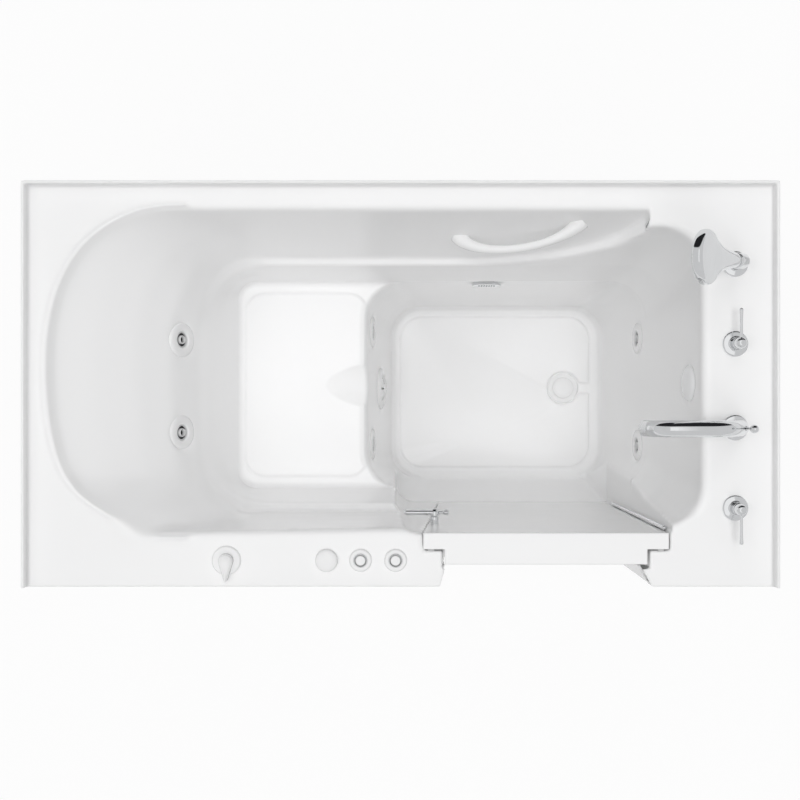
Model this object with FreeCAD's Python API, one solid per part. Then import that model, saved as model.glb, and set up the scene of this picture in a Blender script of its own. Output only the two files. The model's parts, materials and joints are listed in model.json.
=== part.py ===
import FreeCAD, Part
import math
import os

# Walk-in jetted tub. Millimetres, +Z up, +X towards the taps, +Y towards the wall.
# The origin lies on the floor under the middle of the deck.

# The tub as a whole
tub_length = 1524.0
tub_width = 820.0
deck_height = 940.0
shell_wall = 8.0
rim_round = 10.0
flange_rise = 25.0
flange_wall = 6.0
lip_drop = 40.0
overrun = 2.0
sit_gap = 0.3
running_gap = 0.05
flat_tolerance = 0.000001
round_share = math.sqrt(0.5)

# Basin heights
armrest_height = 690.0
seat_height = 542.0
seat_rise = 6.0
floor_height = 128.0
floor_rise = 8.0
seat_cove = 12.0
floor_cove = 25.0
nose_round = 18.0

# Upper basin: backrest and armrest ledges
head_margin = 57.0
rim_back_margin = 57.0
head_front_margin = 112.0
rim_front_margin = 120.0
head_round_length = 274.0
armrest_tip_reach = 310.0
armrest_back_margin = 121.0
armrest_front_margin = 130.0
armrest_round_length = 150.0
head_power_share = 2.4
armrest_power_share = 3.2
recline_level_shares = (0.0, 0.14, 0.38, 0.64, 0.84, 1.0)
recline_reach_shares = (0.0, 0.033, 0.17, 0.433, 0.715, 1.0)
head_curve_steps = 8
front_ledge_reach = 14.0
ramp_start_reach = 136.0
ramp_end_margin = 256.0
ramp_steps = 8
head_roll_rise = 10.0
head_roll_width = 14.0
head_roll_top_share = 0.45
head_roll_end = 3.0

# Lower basin between seat and rim
seat_rear_reach = 374.0
seat_depth = 308.0
ledge_lip = 8.0
seat_back_margin = 157.0
seat_front_margin = 170.0
ledge_back_margin = 136.0
ledge_front_margin = 146.0
well_back_margin = 90.0
well_front_margin = 124.0
foot_margin = 150.0
seat_corner = 45.0
ledge_corner = 130.0

# Foot well
riser_lean = 59.0
foot_wall_lean = 60.0
floor_back_margin = 183.0
floor_front_margin = 163.0
foot_corner = 85.0
pad_side_margin = 27.0
pad_front_margin = 35.0
pad_left_margin = 22.0
pad_right_margin = 33.0
pad_slope = 4.0
pad_corner = 60.0
seat_pad_rear_margin = 19.0
seat_pad_side_margin = 30.0
scoop_radius = 75.0
scoop_length = 98.0
scoop_half_width = 54.0
scoop_y = 5.0

# Doorway and door
door_face_margin = 109.3
door_left_reach = 67.0
door_right_margin = 217.5
door_bottom = 237.0
door_left_taper = 58.0
door_flange = 33.3
door_plug = 30.5
plug_left_inset = 44.0
plug_right_inset = 43.5
plug_left_taper = 55.0
plug_right_taper = 59.0
plug_bottom_rise = 38.0
door_corner = 40.0
door_gap = 3.0
plug_gap = 8.0
seal_thickness = 3.0
seal_width = 12.0
seal_inset = 10.0
jamb_overlap = 7.5
bay_left_reach = 58.0
bay_corner = 50.0
bay_right_margin = 7.5
bay_right_corner = 6.0
sill_lip = 10.0
sill_foot = 10.0
bay_foot_inset = 38.0
recess_margin = 3.0
recess_left_flare = 12.0
recess_right_flare = 22.0

left_end = -tub_length / 2
right_end = tub_length / 2
front_edge = -tub_width / 2
back_edge = tub_width / 2
head_tip = left_end + head_margin
armrest_tip = left_end + armrest_tip_reach
foot_rim = right_end - foot_margin
seat_rear = left_end + seat_rear_reach
riser_top = seat_rear + seat_depth
riser_foot = riser_top + riser_lean
ramp_start = riser_foot + ramp_start_reach
ramp_end = right_end - ramp_end_margin
door_left = riser_foot + door_left_reach
door_right = right_end - door_right_margin
plug_left = door_left + plug_left_inset
plug_right = door_right - plug_right_inset
bay_left = door_left - bay_left_reach
front_ledge_end = door_left + front_ledge_reach
recess_left = plug_left - plug_gap - recess_margin
recess_right = plug_right + plug_gap + recess_margin
gutter_height = floor_height - floor_rise
seat_gutter = seat_height - seat_rise
rim_height = deck_height - rim_round
door_face = front_edge + door_face_margin
land_face = door_face - door_flange - seal_thickness
plug_face = door_face - door_flange - door_plug
jamb_face = plug_face - jamb_overlap


def at(x, y, z):
    return FreeCAD.Vector(x, y, z)


def blend(low, high, share):
    """Value part of the way from low to high."""
    return low + (high - low) * share


def block(x_low, x_high, y_low, y_high, z_low, z_high):
    return Part.makeBox(x_high - x_low, y_high - y_low, z_high - z_low, at(x_low, y_low, z_low))


def rod(radius, start, end):
    run = end - start
    return Part.makeCylinder(radius, run.Length, start, run)


def turned(profile, base, axis):
    """Solid of revolution of (radius, height) points, standing on base along axis."""
    points = [at(radius, 0, height) for radius, height in profile]
    face = Part.Face(Part.makePolygon(points + points[:1]))
    solid = face.revolve(at(0, 0, 0), at(0, 0, 1), 360)
    solid.Placement = FreeCAD.Placement(base, FreeCAD.Rotation(at(0, 0, 1), axis))
    return solid


def together(solids):
    """One solid welded from several."""
    return solids[0].multiFuse(solids[1:]).removeSplitter()


def rounded_section(z, left, right, front, back, left_corner, right_corner):
    """Closed level outline with straight sides and round corners."""
    corners = (
        (right - right_corner, back - right_corner, right_corner, 1, 1),
        (right - right_corner, front + right_corner, right_corner, 1, -1),
        (left + left_corner, front + left_corner, left_corner, -1, -1),
        (left + left_corner, back - left_corner, left_corner, -1, 1),
    )
    arcs = []
    for x, y, radius, side_x, side_y in corners:
        along = at(x, y + radius * side_y, z)
        across = at(x + radius * side_x, y, z)
        middle = at(x + radius * side_x * round_share, y + radius * side_y * round_share, z)
        order = (along, middle, across) if side_x == side_y else (across, middle, along)
        arcs.append(Part.Arc(*order).toShape())
    edges = []
    for index, arc in enumerate(arcs):
        following = arcs[(index + 1) % len(arcs)]
        edges.append(arc)
        start = arc.valueAt(arc.LastParameter)
        edges.append(Part.makeLine(start, following.valueAt(following.FirstParameter)))
    return edges


def wall_between(low, high):
    """Wall from one edge up to the matching edge of the next section, flat where it can be."""
    start, end = low.valueAt(low.FirstParameter), low.valueAt(low.LastParameter)
    over_start, over_end = high.valueAt(high.FirstParameter), high.valueAt(high.LastParameter)
    normal = (end - start).cross(over_start - start).normalize()
    straight = isinstance(low.Curve, Part.Line) and isinstance(high.Curve, Part.Line)
    if straight and abs(normal.dot(over_end - start)) < flat_tolerance:
        return Part.Face(Part.makePolygon([start, end, over_end, over_start, start]))
    if (over_start - start).isEqual(over_end - end, flat_tolerance):
        return low.extrude(over_start - start)
    return Part.makeRuledSurface(low, high)


def stacked(sections):
    """Closed solid through level outlines that all have the same edges in the same order."""
    faces = [Part.Face(Part.Wire(sections[0])), Part.Face(Part.Wire(sections[-1]))]
    for lower, upper in zip(sections, sections[1:]):
        faces += [wall_between(low, high) for low, high in zip(lower, upper)]
    shell = Part.makeShell(faces)
    shell.sewShape()
    solid = Part.Solid(shell)
    solid.fix(flat_tolerance, flat_tolerance, flat_tolerance)
    return solid


def smooth_curve(points, start_direction, end_direction):
    """Curve through evenly timed points, so that curves of like outlines match along their length."""
    curve = Part.BSplineCurve()
    times = [index / (len(points) - 1) for index in range(len(points))]
    curve.interpolate(Points=points, Parameters=times,
                      InitialTangent=start_direction, FinalTangent=end_direction)
    return curve.toShape()


def head_curve(z, tip, centre, front, back, power):
    """Half of a superellipse from the back side round the tip to the front side."""
    middle = (front + back) / 2
    half_width = (back - front) / 2
    reach = centre - tip
    points = []
    for step in range(head_curve_steps + 1):
        angle = math.pi * step / head_curve_steps
        along, across = math.sin(angle), math.cos(angle)
        spread = (along ** power + abs(across) ** power) ** (-1 / power)
        points.append(at(centre - reach * along * spread, middle + half_width * across * spread, z))
    points[-1] = at(centre, front, z)
    return smooth_curve(points, at(-math.pi * reach, 0, 0), at(math.pi * reach, 0, 0))


def upper_sizes(share):
    """Outline sizes of the upper basin, from the armrests (0) to the rim (1)."""
    reach = 0.0
    for low in range(len(recline_level_shares) - 1):
        start, end = recline_level_shares[low:low + 2]
        if start <= share <= end:
            part = (share - start) / (end - start)
            reach = blend(recline_reach_shares[low], recline_reach_shares[low + 1], part)
    return {
        "tip": blend(armrest_tip, head_tip, reach),
        "round": blend(armrest_round_length, head_round_length, share),
        "power": blend(armrest_power_share, head_power_share, share),
        "back": back_edge - blend(armrest_back_margin, rim_back_margin, share),
        "front": front_edge + blend(armrest_front_margin, head_front_margin, share),
        "front_end": front_edge + blend(armrest_front_margin, rim_front_margin, share),
    }


def upper_section(z, share, grow):
    sizes = upper_sizes(share)
    tip = sizes["tip"] - grow
    centre = sizes["tip"] + sizes["round"]
    back = sizes["back"] + grow
    front = sizes["front"] - grow
    front_end = sizes["front_end"] - grow
    head = head_curve(z, tip, centre, front, back, sizes["power"])
    start = head.valueAt(head.FirstParameter)
    end = head.valueAt(head.LastParameter)
    front_corner = at(front_ledge_end, front_end, z)
    back_corner = at(ramp_end + rim_round + shell_wall, back, z)
    lines = [
        Part.makeLine(end, front_corner),
        Part.makeLine(front_corner, back_corner),
        Part.makeLine(back_corner, start),
    ]
    return [head] + lines


def rim_steps():
    """Heights and outward spreads that round the basin over onto the deck."""
    return (
        (rim_height + rim_round * round_share, rim_round * (1 - round_share)),
        (deck_height, rim_round),
        (deck_height + overrun, rim_round),
    )


def upper_basin(skin):
    """Space over the armrests, with the back ledge sweeping up to the deck; skin makes it larger."""
    sections = []
    for share in recline_level_shares:
        level = blend(armrest_height, rim_height, share)
        drop = skin if share == 0 else 0
        sections.append(upper_section(level - drop, share, skin))
    if skin:
        sections.append(upper_section(deck_height, 1.0, skin))
    else:
        sections += [upper_section(z, 1.0, spread) for z, spread in rim_steps()]
    space = Part.makeLoft([Part.Wire(section) for section in sections], True, True)
    return space.cut(back_ramp(skin))


def back_ramp(skin):
    """Solid ground under the rising ledge: a quarter ellipse swept across the back wall."""
    rise = deck_height - armrest_height
    points = []
    for step in range(ramp_steps + 1):
        angle = math.pi / 2 * step / ramp_steps
        x = ramp_start + skin + (ramp_end - ramp_start) * math.sin(angle)
        points.append(at(x, 0, deck_height - skin - rise * math.cos(angle)))
    reach = (ramp_end - ramp_start) * math.pi / 2
    lift = rise * math.pi / 2
    curve = smooth_curve(points, at(reach, 0, 0), at(0, 0, lift))
    top = at(ramp_end + skin, 0, deck_height + overrun)
    far = ramp_end + tub_width
    low = armrest_height - skin - overrun
    outline = [points[-1], top, at(far, 0, top.z), at(far, 0, low), at(points[0].x, 0, low), points[0]]
    wire = Part.Wire([curve, Part.makePolygon(outline)])
    return Part.Face(wire).extrude(at(0, back_edge, 0))


def foot_wall_at(z):
    share = (z - gutter_height) / (rim_height - gutter_height)
    return foot_rim - foot_wall_lean * (1 - share)


def riser_at(z):
    share = (z - gutter_height) / (seat_height - nose_round - gutter_height)
    return riser_foot - riser_lean * share


def lower_section(z, left, front, back, left_corner, right_corner, grow):
    return rounded_section(
        z, left - grow, foot_wall_at(z) + grow, front - grow, back + grow,
        left_corner + grow, right_corner + grow,
    )


def lower_basin(skin):
    """Space over the seat and out to the foot wall."""
    seat_front = front_edge + seat_front_margin
    seat_back = back_edge - seat_back_margin
    ledge_left = armrest_tip + ledge_lip
    sections = []
    for share in (0.0, 1 - round_share, 1.0):
        inset = seat_cove * (1 - share) if share in (0.0, 1.0) else seat_cove * (1 - round_share)
        level = seat_gutter + seat_cove * share
        drop = skin if share == 0 else 0
        sections.append(lower_section(
            level - drop, seat_rear, seat_front, seat_back, seat_corner, foot_corner, skin - inset))
    sections.append(lower_section(
        armrest_height, ledge_left, front_edge + ledge_front_margin, back_edge - ledge_back_margin,
        ledge_corner, foot_corner, skin))
    rim = (ledge_left, front_edge + well_front_margin, back_edge - well_back_margin,
           ledge_corner, foot_corner)
    sections.append(lower_section(rim_height, *rim, skin))
    if skin:
        sections.append(lower_section(deck_height, *rim, skin))
    else:
        sections += [lower_section(z, *rim, spread) for z, spread in rim_steps()]
    return stacked(sections)


def foot_well(skin):
    """Space in front of the seat, down to the gutter round the floor pad."""
    top = seat_gutter + seat_cove
    floor_front = front_edge + floor_front_margin
    floor_back = back_edge - floor_back_margin
    seat_front = front_edge + seat_front_margin
    seat_back = back_edge - seat_back_margin

    def section(z, left, grow):
        share = (z - gutter_height) / (top - gutter_height)
        level_share = max(share, 0.0)
        return rounded_section(
            z, left - grow, foot_wall_at(z) + grow,
            blend(floor_front, seat_front, level_share) - grow,
            blend(floor_back, seat_back, level_share) + grow,
            foot_corner + grow, foot_corner + grow)

    nose_low = seat_height - nose_round
    sections = [
        section(gutter_height - skin, riser_foot, skin - floor_cove),
        section(gutter_height + floor_cove * (1 - round_share), riser_foot,
                skin - floor_cove * (1 - round_share)),
        section(gutter_height + floor_cove, riser_at(gutter_height + floor_cove), skin),
        section(nose_low, riser_top, skin),
    ]
    if not skin:
        sections.append(section(nose_low + nose_round * round_share,
                                riser_top - nose_round * (1 - round_share), 0))
        sections.append(section(seat_height, riser_top - nose_round, 0))
        sections.append(section(top, riser_top - nose_round, 0))
    else:
        sections.append(section(top, riser_top, skin))
    return stacked(sections)


def door_bay(skin):
    """Space that widens the foot well to the inner face of the door, with a sloping sill."""
    sill = door_bottom - sill_lip
    right = door_right + bay_right_margin
    foot_front = front_edge + floor_front_margin
    foot_inset = bay_foot_inset

    def section(z, front, inset, grow):
        return rounded_section(
            z, bay_left + inset - grow, right - inset + grow, front - grow, 0,
            bay_corner + grow, bay_right_corner + grow)

    sections = [
        section(gutter_height + sill_foot - skin, foot_front, foot_inset, skin),
        section(sill - skin, door_face, 0, skin),
    ]
    top = deck_height if skin else deck_height + overrun
    sections.append(section(top, door_face, 0, skin))
    return stacked(sections)


def head_roll():
    """Raised roll round the head end of the rim, fading out along both sides."""
    sizes = upper_sizes(1.0)
    centre = sizes["tip"] + sizes["round"]
    levels = (
        (deck_height - overrun, head_roll_width, head_roll_end),
        (deck_height + head_roll_rise * round_share, head_roll_width, head_roll_end),
        (deck_height + head_roll_rise, head_roll_width * head_roll_top_share, head_roll_end / 2),
    )
    shapes = []
    for beyond in (1, 0):
        outlines = []
        for z, width, end in levels:
            back = sizes["back"] + rim_round + end * beyond
            front = sizes["front"] - rim_round - end * beyond
            tip = sizes["tip"] - rim_round - width * beyond
            curve = head_curve(z, tip, centre, front, back, sizes["power"])
            chord = Part.makeLine(curve.valueAt(curve.LastParameter), curve.valueAt(curve.FirstParameter))
            outlines.append([curve, chord])
        shapes.append(stacked(outlines))
    return shapes[0].cut(shapes[1])


def seat_pad():
    """Raised flat of the seat inside its gutter."""
    left = seat_rear + seat_pad_rear_margin
    front = front_edge + seat_front_margin + seat_pad_side_margin
    back = back_edge - seat_back_margin - seat_pad_side_margin
    low = rounded_section(seat_gutter - overrun, left - pad_slope, riser_top, front - pad_slope,
                          back + pad_slope, seat_corner, seat_corner)
    high = rounded_section(seat_height, left, riser_top, front, back, seat_corner, seat_corner)
    return stacked([low, high])


def floor_pad(drain_place, drain_recess, channel_width):
    """Raised floor of the foot well, with a keyhole for the drain."""
    left = riser_foot + pad_left_margin
    right = foot_wall_at(gutter_height) - pad_right_margin
    front = front_edge + floor_front_margin + pad_front_margin
    back = back_edge - floor_back_margin - pad_side_margin
    low = rounded_section(gutter_height - overrun, left - pad_slope, right + pad_slope,
                          front - pad_slope, back + pad_slope, pad_corner, pad_corner)
    high = rounded_section(floor_height, left, right, front, back, pad_corner, pad_corner)
    pad = stacked([low, high])
    x, y = drain_place
    hole = rod(drain_recess, at(x, y, gutter_height), at(x, y, floor_height + overrun))
    channel = block(x, right + pad_right_margin, y - channel_width / 2, y + channel_width / 2,
                    gutter_height, floor_height + overrun)
    return pad.cut(hole.fuse(channel))


def seat_scoop(skin):
    """Sloping round scoop in the front of the seat."""
    depth_at_front = math.sqrt(scoop_radius ** 2 - scoop_half_width ** 2)
    slope = math.asin((scoop_radius - depth_at_front) / scoop_length)
    apex = riser_top - scoop_length
    height = seat_height + scoop_radius / math.cos(slope)
    along = at(math.cos(slope), 0, -math.sin(slope))
    start = at(apex, scoop_y, height) - along * scoop_radius
    return rod(scoop_radius + skin, start, start + along * (scoop_length + scoop_radius * 2))


def door_outline(left, right, left_taper, right_taper, bottom, grow, y_low, y_high, top):
    """Upright slab with tapering sides and rounded bottom corners."""
    points = [
        at(left - grow, y_low, top),
        at(left + left_taper - grow, y_low, bottom - grow),
        at(right - right_taper + grow, y_low, bottom - grow),
        at(right + grow, y_low, top),
    ]
    slab = Part.Face(Part.makePolygon(points + points[:1])).extrude(at(0, y_high - y_low, 0))
    low_edges = [edge for edge in slab.Edges
                 if all(abs(v.Z - (bottom - grow)) < running_gap for v in edge.Vertexes)
                 and abs(edge.Vertexes[0].X - edge.Vertexes[1].X) < running_gap]
    return slab.makeFillet(door_corner + grow, low_edges)


def door_flange_slab(grow, y_low, y_high, top):
    return door_outline(door_left, door_right, door_left_taper, 0, door_bottom, grow, y_low, y_high, top)


def door_plug_slab(grow, y_low, y_high, top):
    return door_outline(plug_left, plug_right, plug_left_taper, plug_right_taper,
                        door_bottom + plug_bottom_rise, grow, y_low, y_high, top)


def deck_and_flange():
    """Flat deck with a turned-down front lip and an upstand against three walls."""
    deck = block(left_end, right_end, front_edge, back_edge, deck_height - shell_wall, deck_height)
    lip = block(left_end, right_end, front_edge, front_edge + shell_wall,
                deck_height - lip_drop, deck_height)
    top = deck_height + flange_rise
    low = deck_height - shell_wall
    stands = [
        block(left_end, left_end + flange_wall, front_edge, back_edge, low, top),
        block(right_end - flange_wall, right_end, front_edge, back_edge, low, top),
        block(left_end, right_end, back_edge - flange_wall, back_edge, low, top),
    ]
    return together([deck, lip] + stands)


def recess_slab(grow, z_low, z_high):
    """Upright slab of the deck's recess in front of the door, flaring towards the front."""
    front = front_edge - overrun
    corners = [
        at(recess_left - grow, front, z_low),
        at(recess_right + grow, front, z_low),
        at(recess_right - recess_right_flare + grow, jamb_face, z_low),
        at(recess_left + recess_left_flare - grow, jamb_face, z_low),
    ]
    return Part.Face(Part.makePolygon(corners + corners[:1])).extrude(at(0, 0, z_high - z_low))


def doorway_cuts():
    over = deck_height + flange_rise
    inner = door_flange_slab(door_gap, land_face, door_face + bay_corner, over)
    outer = door_plug_slab(plug_gap, jamb_face - overrun, land_face, over)
    return [inner, outer, recess_slab(0, deck_height - lip_drop - overrun, over)]


def jamb_blocks():
    inner = door_flange_slab(door_gap + shell_wall, land_face - shell_wall, door_face, deck_height)
    outer = door_plug_slab(plug_gap + shell_wall, jamb_face, land_face, deck_height)
    return [inner, outer]


# Ports through the basin wall
port_sink = 3.0
jet_radius = 38.5
jet_mouth = 17.0
jet_hole = 24.0
jet_rise = 6.0
jet_nozzle_depth = 8.0
jet_throat = 7.0
nozzle_lip = 9.5
nozzle_rim = 15.0
nozzle_groove = 2.0
jet_body_depth = 45.0
jet_nut_radius = 34.0
jet_nut_height = 12.0
jet_tail_radius = 10.0
jet_tail_length = 25.0
back_jet_height = 755.0
back_jet_spread_share = 0.1244
riser_jet_height = 440.0
riser_jet_spread_share = 0.1707
foot_jet_height = 478.0
foot_jet_spread_share = 0.1598
foot_jet_y = -10.0
suction_height = 320.0
suction_radius = 53.0
suction_rise = 14.0
suction_hole = 40.0
suction_slots = 8
suction_slot_width = 5.0
suction_slot_shares = (0.25, 0.75)
suction_tail = 24.0
light_height = 850.0
light_y = 5.0
light_radius = 39.0
light_hole = 33.0
light_rise = 9.0
light_depth = 40.0
overflow_reach = 229.0
overflow_height = 512.0
overflow_width = 70.0
overflow_tall = 34.0
overflow_rise = 8.0
overflow_slots = 7
overflow_slot_width = 4.0
overflow_hole = 14.0
overflow_elbow_reach = 60.0
overflow_socket = 3.0


def backrest_port():
    """Point and inward direction on the flat of the backrest that carries the jets."""
    low, high = recline_level_shares[1:3]
    share = (back_jet_height - armrest_height) / (rim_height - armrest_height)
    bottom, top = upper_sizes(low), upper_sizes(high)
    run = bottom["tip"] - top["tip"]
    rise = (high - low) * (rim_height - armrest_height)
    here = upper_sizes(share)
    middle = (here["front"] + here["back"]) / 2
    return at(here["tip"], middle, back_jet_height), at(rise, 0, run).normalize()


def riser_port(y, z):
    rise = seat_height - nose_round - gutter_height
    return at(riser_at(z), y, z), at(rise, 0, riser_lean).normalize()


def foot_wall_port(y, z):
    rise = rim_height - gutter_height
    return at(foot_wall_at(z), y, z), at(-rise, 0, foot_wall_lean).normalize()


def overflow_port():
    rise = seat_gutter + seat_cove - gutter_height
    run = floor_back_margin - seat_back_margin
    share = (overflow_height - gutter_height) / rise
    y = back_edge - blend(floor_back_margin, seat_back_margin, share)
    return at(riser_foot + overflow_reach, y, overflow_height), at(0, -rise, run).normalize()


def jet_ports():
    """The six jets: two behind the bather, two under the seat, two at the feet."""
    centre, facing = backrest_port()
    ports = []
    for side in (1, -1):
        ports.append((at(centre.x, tub_width * back_jet_spread_share * side, centre.z), facing))
    for side in (1, -1):
        ports.append(riser_port(tub_width * riser_jet_spread_share * side, riser_jet_height))
    for side in (1, -1):
        ports.append(foot_wall_port(foot_jet_y + tub_width * foot_jet_spread_share * side, foot_jet_height))
    return ports


def all_ports():
    """Every round port as (point, direction, face radius, hole radius)."""
    ports = [(point, facing, jet_radius, jet_hole) for point, facing in jet_ports()]
    ports.append(riser_port(0, suction_height) + (suction_radius, suction_hole))
    ports.append(foot_wall_port(light_y, light_height) + (light_radius, light_hole))
    ports.append(overflow_port() + (overflow_width / 2 + sit_gap, overflow_hole))
    return ports


def port_seat(point, facing):
    return point - facing * port_sink


def port_bosses():
    """Thick round pads behind the wall, flat for the nuts of the ports."""
    bosses = []
    for point, facing, face_radius, hole_radius in all_ports():
        seat = port_seat(point, facing)
        bosses.append(rod(face_radius + shell_wall, seat - facing * shell_wall, point))
    return bosses


def port_cuts():
    cuts = []
    for point, facing, face_radius, hole_radius in all_ports():
        seat = port_seat(point, facing)
        cuts.append(rod(face_radius + sit_gap, seat, seat + facing * shell_wall * 2))
        cuts.append(rod(hole_radius, seat - facing * (shell_wall + overrun), seat + facing * overrun))
    return cuts


# Fittings that stand on the deck
tap_margin = 83.0
tap_hole = 16.0
shower_y = 245.0
upper_lever_y = 83.0
spout_y = -87.0
lower_lever_y = -250.0
control_margin = 54.0
control_hole = 14.0
drain_knob_reach = 409.0
air_control_reach = 612.0
jets_button_reach = 681.0
light_button_reach = 752.0
screw_hole = 2.5
flange_hole_margin = 162.0
drain_margin = 102.0
drain_y = 5.0
drain_recess = 45.0
drain_hole = 26.0
drain_channel = 30.0

tap_x = right_end - tap_margin
control_y = front_edge + control_margin
drain_knob_x = left_end + drain_knob_reach
air_control_x = left_end + air_control_reach
jets_button_x = left_end + jets_button_reach
light_button_x = left_end + light_button_reach
drain_x = foot_wall_at(gutter_height) - drain_margin


def deck_holes():
    holes = []
    for y in (shower_y, upper_lever_y, spout_y, lower_lever_y):
        holes.append((tap_x, y, tap_hole))
    for x in (drain_knob_x, air_control_x, jets_button_x, light_button_x):
        holes.append((x, control_y, control_hole))
    low = deck_height - shell_wall - overrun
    return [rod(radius, at(x, y, low), at(x, y, deck_height + overrun)) for x, y, radius in holes]


def flange_holes():
    z = deck_height + flange_rise / 2
    start = back_edge - flange_wall - overrun
    places = (left_end + flange_hole_margin, right_end - flange_hole_margin)
    return [rod(screw_hole, at(x, start, z), at(x, back_edge + overrun, z)) for x in places]


def tub_shell():
    """The moulded shell: deck, rim, basin, door jamb and the pads behind its ports."""
    spaces = [upper_basin(0), lower_basin(0), foot_well(0), door_bay(0)]
    skins = [upper_basin(shell_wall), lower_basin(shell_wall), foot_well(shell_wall), door_bay(shell_wall)]
    scoop_zone = block(seat_rear, riser_foot, front_edge, back_edge, gutter_height, seat_gutter)
    skins.append(seat_scoop(shell_wall).common(scoop_zone))
    well = spaces[2]
    drain = rod(drain_hole, at(drain_x, drain_y, gutter_height - shell_wall - overrun),
                at(drain_x, drain_y, floor_height))
    solid = deck_and_flange().multiFuse(skins + jamb_blocks() + port_bosses())
    solid = solid.cut(spaces[0].multiFuse(spaces[1:]))
    pads = [seat_pad().cut(well), floor_pad((drain_x, drain_y), drain_recess, drain_channel)]
    solid = solid.multiFuse(pads + [head_roll()])
    cuts = [seat_scoop(0), drain] + doorway_cuts() + port_cuts() + deck_holes() + flange_holes()
    solid = solid.cut(cuts[0].multiFuse(cuts[1:]))
    return solid.removeSplitter()


# Profiles shared by turned pieces, as shares of a radius and a height
bell_shares = ((1.0, 0.0), (1.0, 0.1), (0.9, 0.22), (0.62, 0.42), (0.5, 0.7), (0.48, 1.0))
disc_shares = ((1.0, 0.0), (1.0, 0.55), (0.94, 0.85), (0.82, 1.0))
dome_shares = ((1.0, 0.0), (1.0, 0.3), (0.9, 0.62), (0.65, 0.87), (0.3, 0.98))
ball_shares = ((0.45, 0.0), (0.75, 0.1), (0.97, 0.32), (1.0, 0.5), (0.97, 0.68), (0.75, 0.9), (0.45, 1.0))


def shaped(shares, radius, height, base, axis):
    """Turned solid whose outline is given in shares of its radius and height."""
    outline = [(radius * across, height * up) for across, up in shares]
    return turned([(0, 0)] + outline + [(0, height)], base, axis)


def ring(outer, inner, low, high, base, axis):
    return turned([(inner, low), (outer, low), (outer, high), (inner, high)], base, axis)


def bent_pipe(points, radius, bends):
    """Round bar along straight runs joined by a tangent bend at each inner point."""
    edges = []
    start = points[0]
    for before, corner, after, bend in zip(points, points[1:], points[2:], bends):
        back = (before - corner).normalize()
        onward = (after - corner).normalize()
        half_turn = back.getAngle(onward) / 2
        reach = bend / math.tan(half_turn)
        inward = (back + onward).normalize()
        middle = corner + inward * (bend / math.sin(half_turn) - bend)
        entry, leaving = corner + back * reach, corner + onward * reach
        edges.append(Part.makeLine(start, entry))
        edges.append(Part.Arc(entry, middle, leaving).toShape())
        start = leaving
    edges.append(Part.makeLine(start, points[-1]))
    section = Part.Wire(Part.makeCircle(radius, points[0], points[1] - points[0]))
    return Part.Wire(edges).makePipeShell([section], True, False)


# Door hinge and latch
hinge_low = 350.0
hinge_high = 893.0
hinge_bore = 3.0
hinge_stand = 5.2
knuckle_radius = 4.8
knuckle_count = 5
knuckle_gap = 0.5
leaf_thickness = 1.2
leaf_width = 30.0
pin_head = 4.0
latch_inset = 28.0
latch_height = 770.0
latch_boss_radius = 9.0
latch_boss_length = 18.0
latch_hub_radius = 11.0
latch_hub_length = 16.0
latch_bar_length = 66.0
latch_bar_depth = 11.0
latch_bar_tall = 20.0
latch_bar_round = 5.0
latch_bar_seat_share = 0.33
latch_tail_radius = 3.5
latch_tail_length = 22.0
latch_ball = 6.5

latch_x = door_left + latch_inset
hinge_x = door_right + door_gap / 2
hinge_y = door_face + hinge_stand


def door_panel():
    flange = door_flange_slab(0, door_face - door_flange, door_face, deck_height)
    plug = door_plug_slab(0, plug_face, door_face - door_flange, deck_height)
    return together([flange, plug])


def door_seal():
    """Rubber strip on the jamb land, up both sides and along the bottom."""
    low, high = land_face, land_face + seal_thickness - sit_gap
    outer = door_flange_slab(-seal_inset, low, high, deck_height)
    inner = door_flange_slab(-seal_inset - seal_width, low - overrun, high + overrun, deck_height + overrun)
    return outer.cut(inner)


def hinge_place(z):
    return at(hinge_x, hinge_y, z)


def hinge_leaf(plate_low, plate_high, first):
    """Leaf in the door gap with every other knuckle, starting at the given one."""
    plate = block(plate_low, plate_high, door_face - leaf_width, door_face, hinge_low, hinge_high)
    step = (hinge_high - hinge_low) / knuckle_count
    solids = [plate]
    for index in range(first, knuckle_count, 2):
        low = hinge_low + step * index + knuckle_gap / 2
        high = low + step - knuckle_gap
        solids.append(rod(knuckle_radius, hinge_place(low), hinge_place(high)))
        solids.append(block(plate_low, plate_high, door_face - overrun, hinge_y, low, high))
    bore = rod(hinge_bore, hinge_place(hinge_low - overrun), hinge_place(hinge_high + overrun))
    return together(solids).cut(bore)


def hinge_pin():
    radius = hinge_bore - running_gap
    shaft = rod(radius, hinge_place(hinge_low - pin_head), hinge_place(hinge_high + pin_head))
    top = shaped(dome_shares, knuckle_radius, pin_head, hinge_place(hinge_high + knuckle_gap), at(0, 0, 1))
    foot = shaped(dome_shares, knuckle_radius, pin_head, hinge_place(hinge_low - knuckle_gap), at(0, 0, -1))
    return together([shaft, top, foot])


def latch_boss():
    base = at(latch_x, door_face, latch_height)
    return shaped(disc_shares, latch_boss_radius, latch_boss_length - sit_gap, base, at(0, 1, 0))


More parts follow.
